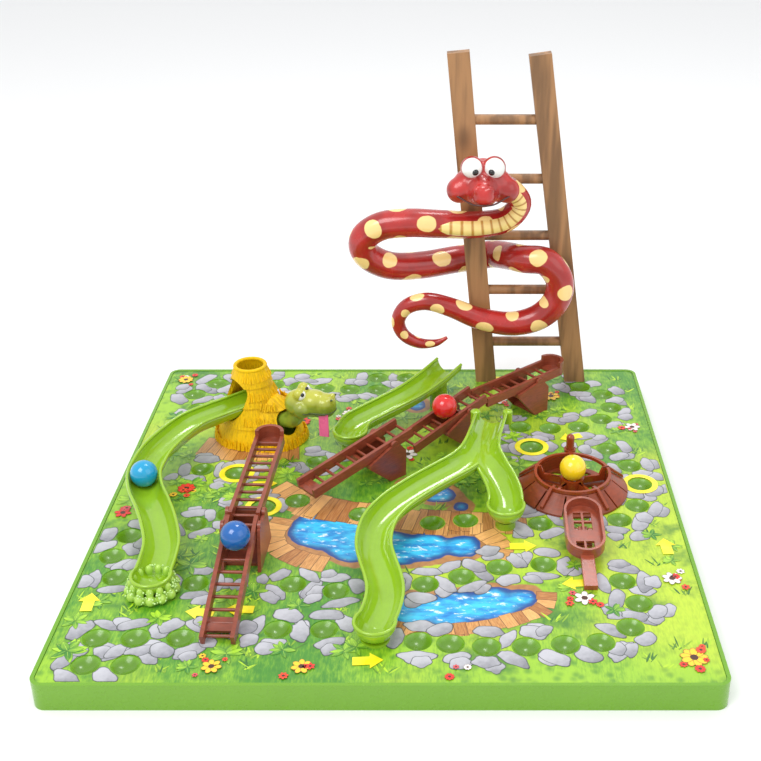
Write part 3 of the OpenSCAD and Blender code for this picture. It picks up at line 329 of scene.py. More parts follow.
def plastic(name, slot, colour, rough=0.28, wave=0.02, coat=0.3):
    """Glossy moulded plastic: slight flow marks, smudges and fine scratches."""
    made = Finish(name, slot, Coat_Weight=coat, Coat_Roughness=0.12, IOR=1.48)
    flow = made.place.noise(35, 4)
    dust = made.place.noise(240, 3)
    tone = (flow * 0.7 + dust * 0.3).fade(0.3, 0.7)
    made.set(Base_Color=tone.shades(colour, 0.93, 1.06),
             Roughness=dust.fade(0.35, 0.75) * 0.14 + flow * 0.1 + (rough - 0.1))
    scratch = made.place.placed(scale=(1, 9, 1), turn=(0, 0, 0.6)).noise(420, 2)
    made.bump(scratch * 0.35 + made.place.noise(130, 2) * 0.65, wave * MM)
    return made


def brown_plastic(name, slot, colour):
    """Red-brown plastic with a faint moulded wood grain along it."""
    made = Finish(name, slot, Coat_Weight=0.25, Coat_Roughness=0.15, IOR=1.48)
    grain = made.place.placed(scale=(1, 1, 5), turn=(0.2, 0.1, 0.7)).noise(160, 5, 0.6)
    flow = made.place.noise(40, 3)
    tone = (grain * 0.6 + flow * 0.4).fade(0.32, 0.68)
    made.set(Base_Color=tone.shades(colour, 0.72, 1.22),
             Roughness=0.26 + grain * 0.2)
    made.bump(grain, 0.12 * MM, 0.6)
    return made


def wood(name, slot, colour):
    """Brown plastic with a long wood grain and a few knots, for the standing ladder."""
    made = Finish(name, slot, Coat_Weight=0.15, Coat_Roughness=0.3)
    along = made.place.placed(scale=(1, 1, 0.09), turn=(0, -0.115, 0))
    warped = along.noise(55, 3)
    rings = ((warped * 26).math("SINE") + 1) * 0.5
    fine = along.noise(420, 4, 0.7)
    knots = made.place.placed(scale=(1, 1, 0.55)).cells(24).fade(0.08, 0.24)
    grain = rings * 0.55 + fine * 0.45
    base = grain.fade(0.1, 0.9).shades(colour, 0.62, 1.3)
    made.set(Base_Color=knots.mix(shade(colour, 0.45), base), Roughness=0.42 + fine * 0.25)
    made.bump(grain * knots, 0.4 * MM, 0.7)
    return made


# Mesh work


def turned(angle, axis="Z"):
    return Matrix.Rotation(angle, 4, axis)


def toward(angle):
    """The flat direction at this angle."""
    return Vector((math.cos(angle), math.sin(angle)))


def on_board(at, kind, step=0, angle=0.0):
    """Where a drawn shape of this kind lies: its place, its steps above the sheet, and its turn."""
    lift, more = LIFTS[kind]
    return Matrix.Translation((*at[:2], DECK + (lift + more * step) * MM)) @ turned(angle)


def shown(name, data):
    """A new object in the scene."""
    piece = bpy.data.objects.new(name, data)
    bpy.context.scene.collection.objects.link(piece)
    return piece


def mesh_of(name, bm):
    """The bmesh as a mesh. The bmesh itself is freed."""
    mesh = bpy.data.meshes.new(name)
    bm.to_mesh(mesh)
    bm.free()
    return mesh


def add_piece(name, source, finish, body="board", crease=0):
    """A finished piece from a bmesh or a mesh, at the origin, riding on its body.

    Where crease is given, edges that turn by more degrees stay sharp.
    """
    mesh = mesh_of(name, source) if isinstance(source, bmesh.types.BMesh) else source
    mesh.shade_smooth()
    if crease:
        mesh.set_sharp_from_angle(angle=math.radians(crease))
    piece = shown(name, mesh)
    finishes = finish if isinstance(finish, list) else [finish]
    mesh.materials.clear()
    for one in finishes:
        mesh.materials.append(one.material)
    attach(piece, body)
    return piece


def taken(piece):
    """The piece's mesh with its modifiers applied. The piece itself is deleted."""
    bpy.context.view_layer.update()
    mesh = bpy.data.meshes.new_from_object(piece.evaluated_get(bpy.context.evaluated_depsgraph_get()))
    bpy.data.objects.remove(piece)
    return mesh


def loose(bm):
    """A helper object of a bmesh, for the modifiers."""
    return shown("loose", mesh_of("loose", bm))


def cut(piece, others):
    """The piece's mesh less the others, which are deleted with it."""
    for other in others:
        join = piece.modifiers.new("join", "BOOLEAN")
        join.operation, join.object, join.solver = "DIFFERENCE", other, "EXACT"
    mesh = taken(piece)
    for other in others:
        bpy.data.objects.remove(other)
    return mesh


def node_copy(node):
    """A merged copy of a CAD node's mesh, with its flat faces whole again."""
    bm = bmesh.new()
    bm.from_mesh(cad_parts[node].data)
    bmesh.ops.remove_doubles(bm, verts=bm.verts, dist=2e-6)
    bmesh.ops.dissolve_limit(bm, angle_limit=math.radians(1), verts=bm.verts, edges=bm.edges)
    return bm


def eased(node, finish, edge, body="board", segments=2):
    """A CAD node with its moulded edges rounded off."""
    piece = add_piece(node + "_moulded", node_copy(node), finish, body, 32)
    round_off = piece.modifiers.new("edges", "BEVEL")
    round_off.width, round_off.segments, round_off.profile = edge, segments, 0.5
    round_off.limit_method, round_off.angle_limit = "ANGLE", math.radians(32)
    round_off.harden_normals = True
    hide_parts(node)


def softened(bm, voxel, passes):
    """The bmesh's solids grown into one skin and smoothed, as a clay form."""
    piece = loose(bm)
    skin = piece.modifiers.new("skin", "REMESH")
    skin.mode, skin.voxel_size, skin.use_smooth_shade = "VOXEL", voxel, True
    calm = piece.modifiers.new("calm", "SMOOTH")
    calm.factor, calm.iterations = 0.5, passes
    return taken(piece)


def dressed(node, finish):
    """A CAD node keeps its own mesh and gets a finish."""
    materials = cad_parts[node].data.materials
    materials.clear()
    materials.append(finish.material)


def curve_points(points, steps):
    """A smooth run through the points."""
    points = [Vector(p) for p in points]
    run = []
    for i in range(len(points) - 1):
        a, b = points[max(i - 1, 0)], points[i]
        c, d = points[i + 1], points[min(i + 2, len(points) - 1)]
        for j in range(steps):
            t = j / steps
            run.append((2 * b + (c - a) * t + (2 * a - 5 * b + 4 * c - d) * t * t
                        + (3 * b - a - 3 * c + d) * t ** 3) / 2)
    return run + [points[-1]]


def slide_run(shares, high, low):
    """The middle line of a channel's rim, from its top to its bowl."""
    return curve_points([(x * BOARD, y * BOARD, DECK + low + z * (high - low)) for x, y, z in shares], 7)


def drawn_back(run, lead):
    """The run with its start drawn straight back by this lead."""
    return [run[0] - (run[1] - run[0]).normalized() * lead] + run


def line_curve(places, dimensions):
    """A curve of straight steps through the places, and its one line."""
    curve = bpy.data.curves.new("line", "CURVE")
    curve.dimensions = dimensions
    line = curve.splines.new("POLY")
    line.points.add(len(places) - 1)
    for point, place in zip(line.points, places):
        point.co = (*place, 1)
    return curve, line


def whole(bm, gap):
    """The bmesh with its doubles merged, then its faces turned outwards."""
    bmesh.ops.remove_doubles(bm, verts=bm.verts, dist=gap)
    bmesh.ops.recalc_face_normals(bm, faces=bm.faces)
    return bm


def from_curve(curve, gap):
    """The curve's body as a bmesh. The curve's object is deleted."""
    bm = bmesh.new()
    bm.from_mesh(taken(shown("curve", curve)))
    return whole(bm, gap)


def swept(run, outline):
    """The outline drawn along the run, upright, with closed ends."""
    shape, loop = line_curve([(x, y, 0) for x, y in outline], "2D")
    loop.use_cyclic_u = True
    around = shown("outline", shape)
    path = line_curve(run, "3D")[0]
    path.twist_mode, path.bevel_mode, path.bevel_object = "Z_UP", "OBJECT", around
    path.use_fill_caps = True
    bm = from_curve(path, 1e-6)
    bpy.data.objects.remove(around)
    return bm


def tube(run, radii, sides=4):
    """A round body along the run, with its own UV map, U along it and V round it."""
    path, line = line_curve(run, "3D")
    path.bevel_depth, path.bevel_resolution, path.use_fill_caps = 1.0, sides, True
    for point, radius in zip(line.points, radii):
        point.radius = radius
    return from_curve(path, 1e-7)


def arc(radius, start, end, steps, centre=(0, 0)):
    """Points on a circle, from one angle in degrees to another."""
    angles = [math.radians(start + (end - start) * k / steps) for k in range(steps + 1)]
    return [(centre[0] + radius * math.cos(a), centre[1] + radius * math.sin(a)) for a in angles]


def trough():
    """The upright outline of a channel, with a rolled lip on both its edges."""
    middle = SLIDE_RO - SLIDE_WALL / 2
    return (arc(SLIDE_RO, 188, 352, 18) + arc(LIP_R, -75, 255, 8, (middle, 0))
            + arc(SLIDE_RO - SLIDE_WALL, 352, 188, 16) + arc(LIP_R, -75, 255, 8, (-middle, 0)))


def open_cut():
    """The outline of a channel's inside and of the space above it."""
    r = SLIDE_RO - SLIDE_WALL
    return [(-r, 3 * MM)] + arc(r, 184, 356, 16) + [(r, 3 * MM), (r, r), (-r, r)]


def spun(centre, outline):
    """The outline turned a whole turn about the upright axis, then moved to its centre."""
    bm = bmesh.new()
    verts = [bm.verts.new((x, 0, z)) for x, z in outline]
    edges = [bm.edges.new(pair) for pair in zip(verts, verts[1:])]
    bmesh.ops.spin(bm, geom=verts + edges, cent=(0, 0, 0), axis=(0, 0, 1), angle=2 * math.pi, steps=48,
                   use_merge=True)
    whole(bm, 1e-6)
    bmesh.ops.translate(bm, verts=bm.verts, vec=centre)
    return bm


def bowl(centre):
    """Half a ball's shell with the same rolled lip."""
    middle = BOWL_RO - SLIDE_WALL / 2
    return spun(centre, arc(BOWL_RO, 270, 352, 9) + arc(LIP_R, -75, 255, 8, (middle, 0))
                + arc(BOWL_RO - SLIDE_WALL, 352, 270, 9))


def well(centre):
    """What a bowl's inside takes away: half a ball and the space above it."""
    r = BOWL_RO - SLIDE_WALL
    return spun(centre, [(0, r), (r, r)] + [(max(x, 0), z) for x, z in arc(r, 0, -90, 10)])


def disc(bm, centre, radius, height, sides=28):
    """A round plate or post from centre upwards."""
    bmesh.ops.create_cone(bm, cap_ends=True, segments=sides, radius1=radius, radius2=radius, depth=height,
                          matrix=Matrix.Translation(Vector(centre) + Vector((0, 0, height / 2))))


def blob(bm, centre, radius, stretch=(1, 1, 1), turn=0.0, rings=14):
    """A ball, stretched and then turned."""
    place = Matrix.Translation(centre) @ turned(turn) @ Matrix.Diagonal((*stretch, 1))
    bmesh.ops.create_uvsphere(bm, u_segments=rings * 2, v_segments=rings, radius=radius, matrix=place)


def blob_pairs(bm, head, mirrored, rows, **form):
    """Balls on both sides of a head: place and radius in millimetres, the mirrored axis by number."""
    for side in (-1, 1):
        for *place, radius in rows:
            place[mirrored] *= side
            blob(bm, head @ (Vector(place) * MM), radius * MM, **form)
    return bm


def build_slide(node, runs, finish, lead, cut_lead, extras=None):
    """One slide: channels and bowls, each cut clear by the insides of the others."""
    ends = [run[-1] for run in runs]
    bm = bmesh.new()

    def insides(cutters):
        return [loose(swept(drawn_back(run, cut_lead), open_cut())) for run in cutters]

    for run in runs:
        channel = loose(swept(drawn_back(run, lead), trough()))
        wells = [loose(well(end)) for end in ends]
        bm.from_mesh(cut(channel, wells + insides([other for other in runs if other is not run])))
    for end in ends:
        bm.from_mesh(cut(loose(bowl(end)), insides(runs)))
    if extras:
        extras(bm)
    piece = add_piece(node + "_smooth", bm, finish, crease=46)
    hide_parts(node)


# What a user may change


def length(name, description, default):
    return FloatProperty(name=name, description=description, default=default, min=0.0, unit="LENGTH")


def paint(name, description, default):
    return FloatVectorProperty(name=name, description=description, default=default, subtype="COLOR")


class BoardSizes(bpy.types.PropertyGroup):
    """Sizes of the printed garden."""
    stone_reach: length("Stone reach", "How far the stones reach past a cup's rim", 11.4 * MM)
    stones_per_cup: IntProperty(name="Stones per cup", description="Stones drawn round each cup",
                                default=4, min=3)
    plank_w: length("Plank width", "Width of a drawn plank", 7.6 * MM)
    arrow_l: length("Arrow length", "Length of a yellow arrow", 18 * MM)
    seed: IntProperty(name="Seed", description="Seed of the garden's random layout", default=11)


class BoardColours(bpy.types.PropertyGroup):
    """Colours of the mouldings."""
    tray: paint("Tray", "Green of the tray", (0.145, 0.345, 0.011))
    slide: paint("Slides", "Lime of the slides", (0.28, 0.49, 0.013))
    brown: paint("Ladders", "Red-brown of the ladders", (0.25, 0.05, 0.022))
    rust: paint("Wheel", "Rust of the wheel", (0.29, 0.046, 0.01))
    thatch: paint("Thatch", "Yellow of the hut", (1.0, 0.58, 0.0))
    wood: paint("Wood", "Brown of the standing ladder", (0.3, 0.15, 0.06))
    snake: paint("Climbing snake", "Red of the climbing snake", (0.4, 0.017, 0.014))
    olive: paint("Hut snake", "Green of the hut's snake", (0.2, 0.28, 0.024))


def colour(name):
    return tuple(getattr(bpy.context.scene.board_colours, name))


def sizes():
    return bpy.context.scene.board_sizes


# Pieces


class BoardTray(bpy.types.Operator):
    """Moulded tray with its cups"""
    bl_idname = "board.tray"
    bl_label = "Tray"

    def execute(self, context):
        green = colour("tray")
        made = plastic("tray_green", "green_plastic", green, 0.3, 0.01)
        x, y, z = made.place.parts()
        inside = x.size().most(y.size()) < BOARD / 2 - 4 * MM
        # Painted shade: inside the cups, below the deck, the tray's green is drawn darker (the 0.7 copy set
        # below)
        cup = inside * (1 - z.fade(DECK - 2.8 * MM, DECK - 0.3 * MM))
        skirt = made.place.noise(40, 3).shades(green, 0.95, 1.06)
        made.set(Base_Color=cup.mix(skirt, shade(green, 0.7)))
        dressed("tray", made)
        return {"FINISHED"}


def garden_finish():
    """Print of grass and ponds, worked out from the place on the board."""
    made = printed("garden_print")
    pools = [reduce(lambda pool, one: pool.math("SMOOTH_MIN", one, 0.012),
                    [made.place.away((x * BOARD, y * BOARD, DECK)) - r * BOARD for x, y, r in rounds])
             for rounds in POND_SHARES]
    bank = reduce(Socket.least, pools) + (made.place.noise(26, 3) - 0.5) * 0.022

    blades = made.place.placed(scale=(1, 0.22, 1), turn=(0, 0, 0.2)).noise(760, 3, 0.65)
    patches = made.place.noise(13, 3)
    clover = made.place.cells(150).fade(0.05, 0.6)
    grass = (patches * 0.8 + blades * 0.45 - 0.1).fade(0.34, 0.66)
    grass = grass.mix((0.05, 0.24, 0.01), (0.3, 0.55, 0.018))
    grass = (clover * 0.6 + 0.4).mix((0.03, 0.19, 0.01), grass)
    sunny = made.place.noise(8, 2).fade(0.48, 0.66) * (blades * 0.7 + 0.3)
    grass = sunny.mix(grass, (0.56, 0.7, 0.03))
    shadow = made.place.placed(centre=(0.05, 0, 0)).noise(19, 5, 0.62).fade(0.56, 0.7)
    grass = (shadow * 0.75).mix(grass, (0.02, 0.15, 0.012))

    flow = made.place.placed(scale=(1, 2.8, 1), turn=(0, 0, 0.5)).noise(52, 4, 0.65)
    foam = made.place.placed(scale=(1, 2.1, 1), turn=(0, 0, 0.5)).noise(120, 5, 0.7)
    water = flow.fade(0.32, 0.66).mix((0.0, 0.19, 0.58), (0.04, 0.58, 0.9))
    water = foam.fade(0.55, 0.68).mix(water, (0.85, 0.96, 1.0))
    water = bank.fade(-0.007, -0.001).mix(water, (0.005, 0.06, 0.26))
    earth = made.place.noise(210, 4).mix((0.2, 0.075, 0.02), (0.62, 0.3, 0.1))
    drawn = bank.fade(-0.0006, 0.0002).mix(water, earth)
    drawn = bank.fade(0.0042, 0.0056).mix(drawn, grass)
    made.set(Base_Color=drawn)
    made.bump(made.place.noise(900, 2), 0.02 * MM)
    return made


def printed(name):
    """Ink on the laminated sheet."""
    return Finish(name, "printed_card", Coat_Weight=0.35, Coat_Roughness=0.22, Roughness=0.42)


def cup_gap(place):
    """How far a place is from the middle of the nearest cup."""
    return min((place - cup).length for cup in CUPS)


def in_cup(place):
    return cup_gap(place) < CUP_REACH


def press_out(verts):
    """Moves a drawn shape's points out of the cups and back onto the sheet."""
    edge = BOARD / 2 - SHEET_MARGIN
    for vert in verts:
        for cup in CUPS:
            gap = vert.co.xy - cup
            if gap.length < CUP_REACH:
                vert.co.xy = cup + gap.normalized() * CUP_REACH
        vert.co.x, vert.co.y = (max(-edge, min(edge, way)) for way in vert.co.xy)


def free_level(laid, at, reach):
    """The lowest level that no shape laid before under this one has."""
    levels = {level for other, span, level in laid if (other - at).length < span + reach}
    level = min(set(range(len(levels) + 1)) - levels)
    laid.append((at, reach, level))
    return level


def walk_run(shares, steps):
    """The middle line of a boardwalk."""
    return curve_points([(x * BOARD, y * BOARD, 0) for x, y in shares], steps)


def paced(run, pace):
    """Places a pace apart along a flat run, each with the run's heading there."""
    walked, places = 0.0, []
    for a, b in zip(run, run[1:]):
        step = (b - a).length
        heading = math.atan2(b.y - a.y, b.x - a.x)
        while len(places) * pace <= walked + step:
            places.append((a.lerp(b, (len(places) * pace - walked) / step), heading))
        walked += step
    return places


def edged_inks(name, scale, low):
    """Yellow ink, and the dark ink of its edge."""
    yellow, dark = printed(name + "_print"), printed(name + "_edge_print")
    yellow.set(Base_Color=yellow.place.noise(scale, 2).fade(0.3, 0.7).mix(low, (1.0, 0.93, 0.05)))
    dark.set(Base_Color=dark.place.noise(90, 2).mix((0.16, 0.12, 0.0), (0.3, 0.24, 0.0)))
    return [yellow, dark]


class Drawing:
    """A flat drawn piece: shapes with their own UV map, a tint each, and the light across each."""

    def __init__(self):
        self.bm = bmesh.new()
        self.bm.loops.layers.uv.new("UVMap")
        self.bm.loops.layers.float.new("tint")
        self.bm.loops.layers.float.new("rise")

    def mark(self, verts, middle, size, tint):
        tint_layer, rise_layer = (self.bm.loops.layers.float[name] for name in ("tint", "rise"))
        for vert in verts:
            rise = (vert.co.xy - middle).dot(Vector((-0.45, 0.89))) / size
            for corner in vert.link_loops:
                corner[tint_layer], corner[rise_layer] = tint, rise * 0.5 + 0.5

    def round(self, place, half, sides, tint, lobes=(), point=0.0):
        """A round shape of two half sizes, with lobes on its edge or a point at its far end."""
        verts = bmesh.ops.create_circle(self.bm, cap_ends=True, cap_tris=True, segments=sides, radius=1,
                                        calc_uvs=True)["verts"]
        for vert in verts:
            angle = math.atan2(vert.co.y, vert.co.x)
            if vert.co.length > 0.5:
                vert.co *= 1 + sum(lobe * math.cos((n + 2) * angle + 3 * lobe)
                                   for n, lobe in enumerate(lobes))
            vert.co.y *= 1 - point * max(0, vert.co.x) ** 2
        bmesh.ops.transform(self.bm, matrix=place @ Matrix.Diagonal((*half, 1, 1)), verts=verts)
        self.mark(verts, place.translation.xy, max(half), tint)
        return verts

    def fit(self, verts):
        """Presses a shape out of the cups, and drops it where that folds it over."""
        press_out(verts)
        faces = {face for vert in verts for face in vert.link_faces}
        for face in faces:
            face.normal_update()
        if min(face.normal.z for face in faces) < 0.5:
            bmesh.ops.delete(self.bm, geom=verts, context="VERTS")


class BoardGarden(bpy.types.Operator):
    """Printed garden: grass and ponds, stones round the cups, planks, arrows and flowers"""
    bl_idname = "board.garden"
    bl_label = "Printed garden"

    def execute(self, context):
        dressed("print_sheet", garden_finish())
        chance = random.Random(sizes().seed)
        self.planks(chance)
        self.stones(chance)
        self.arrows()
        self.rings()
        self.flowers(chance)
        self.bushes(chance)
        self.tufts(chance)
        return {"FINISHED"}

    def stones(self, chance):
        made = printed("stone_print")
        grain = made.place.noise(260, 4, 0.6) * 0.45 + made.place.noise(60, 2) * 0.25
        lit = made.read("rise") * 0.55 + grain + made.read("tint") * 0.2
        face = lit.fade(0.24, 1.02).mix((0.17, 0.17, 0.195), (0.5, 0.5, 0.54))
        made.set(Base_Color=made.from_middle()[2].fade(0.88, 0.97).mix(face, (0.045, 0.055, 0.05)))
        drawing, laid = Drawing(), []
        count = sizes().stones_per_cup
        for k, cup in enumerate(CUPS):
            if k in BARE_CUPS:
                continue
            first = chance.uniform(0, 6.28)
            for j in range(count + 2):
                angle = first + (j + chance.uniform(-0.18, 0.18)) * 2 * math.pi / count
                deep = sizes().stone_reach * chance.uniform(0.75, 1.15) / 2
                wide = chance.uniform(8.2, 11.4) * MM
                further = 0 if j < count else chance.uniform(4, 6) * MM
                at = cup + toward(angle) * (CUP_REACH + deep * 0.86 + further)
                if not in_cup(at) and max(abs(at.x), abs(at.y)) <= BOARD / 2 - 5 * MM:
                    half = (deep, wide * (0.7 if further else 1))
                    self.stone(drawing, laid, at, half, angle, chance)
        for share in LOOSE_STONES:
            half = (chance.uniform(4, 6.5) * MM, chance.uniform(5, 8.5) * MM)
            self.stone(drawing, laid, Vector(share) * BOARD, half, chance.uniform(0, 3), chance)
        add_piece("stones", drawing.bm, made)

    def stone(self, drawing, laid, at, half, angle, chance):
        level = free_level(laid, at, max(half))
        lobes = [chance.uniform(-0.09, 0.09) for _ in range(4)]
        place = on_board(at, "stones", level, angle)
        drawing.fit(drawing.round(place, half, 22, chance.random(), lobes))

    def planks(self, chance):
        made = printed("plank_print")
        across, along = made.uv.parts()[:2]
        tint = made.read("tint")
        fibre = made.start.node("ShaderNodeCombineXYZ", (), {0: across * 11 + tint * 60, 1: along * 2.2})
        tone = fibre.noise(1.0, 5, 0.62) * 0.8 + tint * 0.4
        face = tone.fade(0.3, 0.9).mix((0.36, 0.125, 0.026), (0.86, 0.46, 0.15))
        side = (across - 0.5).size().fade(0.42, 0.49)
        end = (along - 0.5).size().fade(0.47, 0.496)
        made.set(Base_Color=side.most(end).mix(face, (0.1, 0.035, 0.01)))
        drawing = Drawing()
        for n, (half, shares) in enumerate(WALK_SHARES):
            for k, (at, heading) in enumerate(paced(walk_run(shares, 12), sizes().plank_w)):
                turn = heading + chance.uniform(-0.05, 0.05)
                place = on_board(at, "planks", k % 3 + 3 * (n % 2), turn)
                half_l = half * BOARD * chance.uniform(0.88, 1.1)
                place = place @ Matrix.Diagonal((sizes().plank_w * 0.56, half_l, 1, 1))
                verts = bmesh.ops.create_grid(drawing.bm, x_segments=5, y_segments=20, size=1, calc_uvs=True,
                                              matrix=place)["verts"]
                drawing.mark(verts, at.xy, sizes().plank_w, chance.random())
                faces = {face for vert in verts for face in vert.link_faces}
                hidden = [face for face in faces if all(in_cup(vert.co.xy) for vert in face.verts)]
                bmesh.ops.delete(drawing.bm, geom=hidden, context="FACES")
                press_out([vert for vert in verts if vert.is_valid])
        add_piece("planks", drawing.bm, made)

    def arrows(self):
        outline = [(-0.5, -0.2), (0.06, -0.2), (0.06, -0.38), (0.5, 0), (0.06, 0.38), (0.06, 0.2),
                   (-0.5, 0.2)]
        bm = bmesh.new()
        for x, y, heading in ARROW_SHARES:
            place = on_board(Vector((x, y)) * BOARD, "arrows", angle=math.radians(heading))
            corners = [place @ (Vector((*point, 0)) * sizes().arrow_l) for point in outline]
            face = bm.faces.new([bm.verts.new(corner) for corner in corners])
            rim = bmesh.ops.inset_region(bm, faces=[face], thickness=0.55 * MM, use_even_offset=True)
            for one in rim["faces"]:
                one.material_index = 1
        add_piece("arrows", bm, edged_inks("arrow", 70, (0.92, 0.74, 0.0)))

    def rings(self):
        bm = bmesh.new()
        for k in RINGED_CUPS:
            at = on_board(CUPS[k], "rings")
            for index, radii in enumerate(((CUP_REACH, RING_R), (RING_R, RING_EDGE_R))):
                loops = [bmesh.ops.create_circle(bm, segments=44, radius=r, matrix=at)["verts"]
                         for r in radii]
                edges = dict.fromkeys(edge for verts in loops for vert in verts for edge in vert.link_edges)
                for face in bmesh.ops.bridge_loops(bm, edges=list(edges))["faces"]:
                    face.material_index = index
        for face in bm.faces:
            if face.normal.z < 0:
                face.normal_flip()
        add_piece("cup_rings", bm, edged_inks("ring", 60, (0.86, 0.7, 0.0)))

    def flowers(self, chance):
        made = printed("petal_print")
        tones = made.read("tint").ramp(
            (0.0, (0.8, 0.015, 0.01)), (0.35, (0.86, 0.06, 0.01)), (0.5, (0.9, 0.86, 0.8)),
            (0.62, (0.7, 0.01, 0.1)), (0.8, (0.95, 0.6, 0.02)), (1.0, (0.06, 0.015, 0.0)))
        edge = made.from_middle()[2]
        made.set(Base_Color=(edge.fade(0.72, 0.98) * 0.85).mix(tones, (0.12, 0.005, 0.01)))
        drawing = Drawing()
        places = [Vector(share) * BOARD for share in FLOWER_SHARES]
        spots = [(at, chance.uniform(3.4, 5.2) * MM) for at in places]
        spots += [(at + Vector((chance.uniform(-10, 10), chance.uniform(-10, 10))) * MM,
                   chance.uniform(1.1, 2.0) * MM) for at in places for _ in range(5)]
        for n, (at, r) in enumerate(spots):
            if cup_gap(at) < CUP_REACH + 0.6 * MM + 1.6 * r:
                continue
            if max(abs(at.x), abs(at.y)) > BOARD / 2 - 3.5 * MM - 2 * r:
                continue
            petals, kind = chance.choice((6, 7, 9)), chance.choice((0.1, 0.1, 0.35, 0.5, 0.64, 0.8))
            first = chance.random()
            step = 13 * (n % 5)
            for j in range(petals):
                place = on_board(at, "flowers", step + 3 * (j % 3), first + j * 2 * math.pi / petals)
                drawing.round(place @ Matrix.Translation((r * 0.95, 0, 0)), (r * 0.75, r * 0.5), 10, kind)
            drawing.round(on_board(at, "flowers", step + 9), (r * 0.5, r * 0.5), 12, 1.0)
        add_piece("flowers", drawing.bm, made)

    def open_places(self, chance, count, clear):
        """Random places on the grass, clear of cups, ponds and boardwalks."""
        walks = [point.xy for half, shares in WALK_SHARES for point in walk_run(shares, 4)]
        ponds = [(Vector((x, y)) * BOARD, r * BOARD) for rounds in POND_SHARES for x, y, r in rounds]
        found = []
        while len(found) < count:
            at = Vector((chance.uniform(-0.475, 0.475), chance.uniform(-0.475, 0.475))) * BOARD
            if (cup_gap(at) > CUP_REACH + clear
                    and min((at - point).length for point in walks) > clear + 7 * MM
                    and all((at - middle).length > r + clear for middle, r in ponds)):
                found.append(at)
        return found

    def bushes(self, chance):
        """Rings of pointed leaves, light ones over dark ones."""
        made = printed("leaf_print")
        onward, aside, edge = made.from_middle()
        tone = made.read("tint") * 0.8 + onward * 0.22 + (made.place.noise(220, 3) - 0.5) * 0.5
        face = tone.fade(0.0, 1.0).mix((0.03, 0.21, 0.012), (0.42, 0.72, 0.03))
        rib = (1 - aside.size().fade(0.04, 0.12)) * 0.5
        rim = edge.fade(0.8, 0.98) * 0.8
        made.set(Base_Color=rim.mix(rib.mix(face, (0.62, 0.82, 0.12)), (0.012, 0.09, 0.008)))
        drawing, laid = Drawing(), []
        for at in self.open_places(chance, 120, 8 * MM):
            size, hue = chance.uniform(4.5, 10) * MM, chance.random()
            level = free_level(laid, at, size * 1.2)
            for j in range(9):
                turn = chance.uniform(-0.4, 3.5) if j > 4 else j * 1.26
                place = on_board(at, "leaves", level * 9 + j, turn)
                tint = hue * 0.5 + (0.1 if j < 5 else 0.45) + chance.uniform(-0.08, 0.08)
                half = (size * 0.62, size * chance.uniform(0.2, 0.3))
                place = place @ Matrix.Translation((size * 0.55, 0, 0))
                drawing.fit(drawing.round(place, half, 12, tint, point=0.75))
        add_piece("leaves", drawing.bm, made)

    def tufts(self, chance):
        made = printed("blade_print")
        tone = made.read("tint") + (made.place.noise(260, 2) - 0.5) * 0.4
        made.set(Base_Color=tone.fade(0.0, 1.0).mix((0.02, 0.14, 0.01), (0.45, 0.7, 0.02)))
        drawing = Drawing()
        laid = 0
        for at in self.open_places(chance, 190, 6 * MM):
            for j in range(chance.choice((6, 8, 10))):
                half = (chance.uniform(2.5, 5.5) * MM, chance.uniform(0.5, 0.85) * MM)
                foot = at + Vector((chance.uniform(-4, 4), chance.uniform(-1.5, 1.5))) * MM
                laid += 1
                place = on_board(foot, "tufts", laid % 28, math.pi / 2 + chance.uniform(-1.0, 1.0))
                place = place @ Matrix.Translation((half[0], 0, 0))
                drawing.fit(drawing.round(place, half, 8, chance.random(), point=0.8))
        add_piece("grass_tufts", drawing.bm, made)


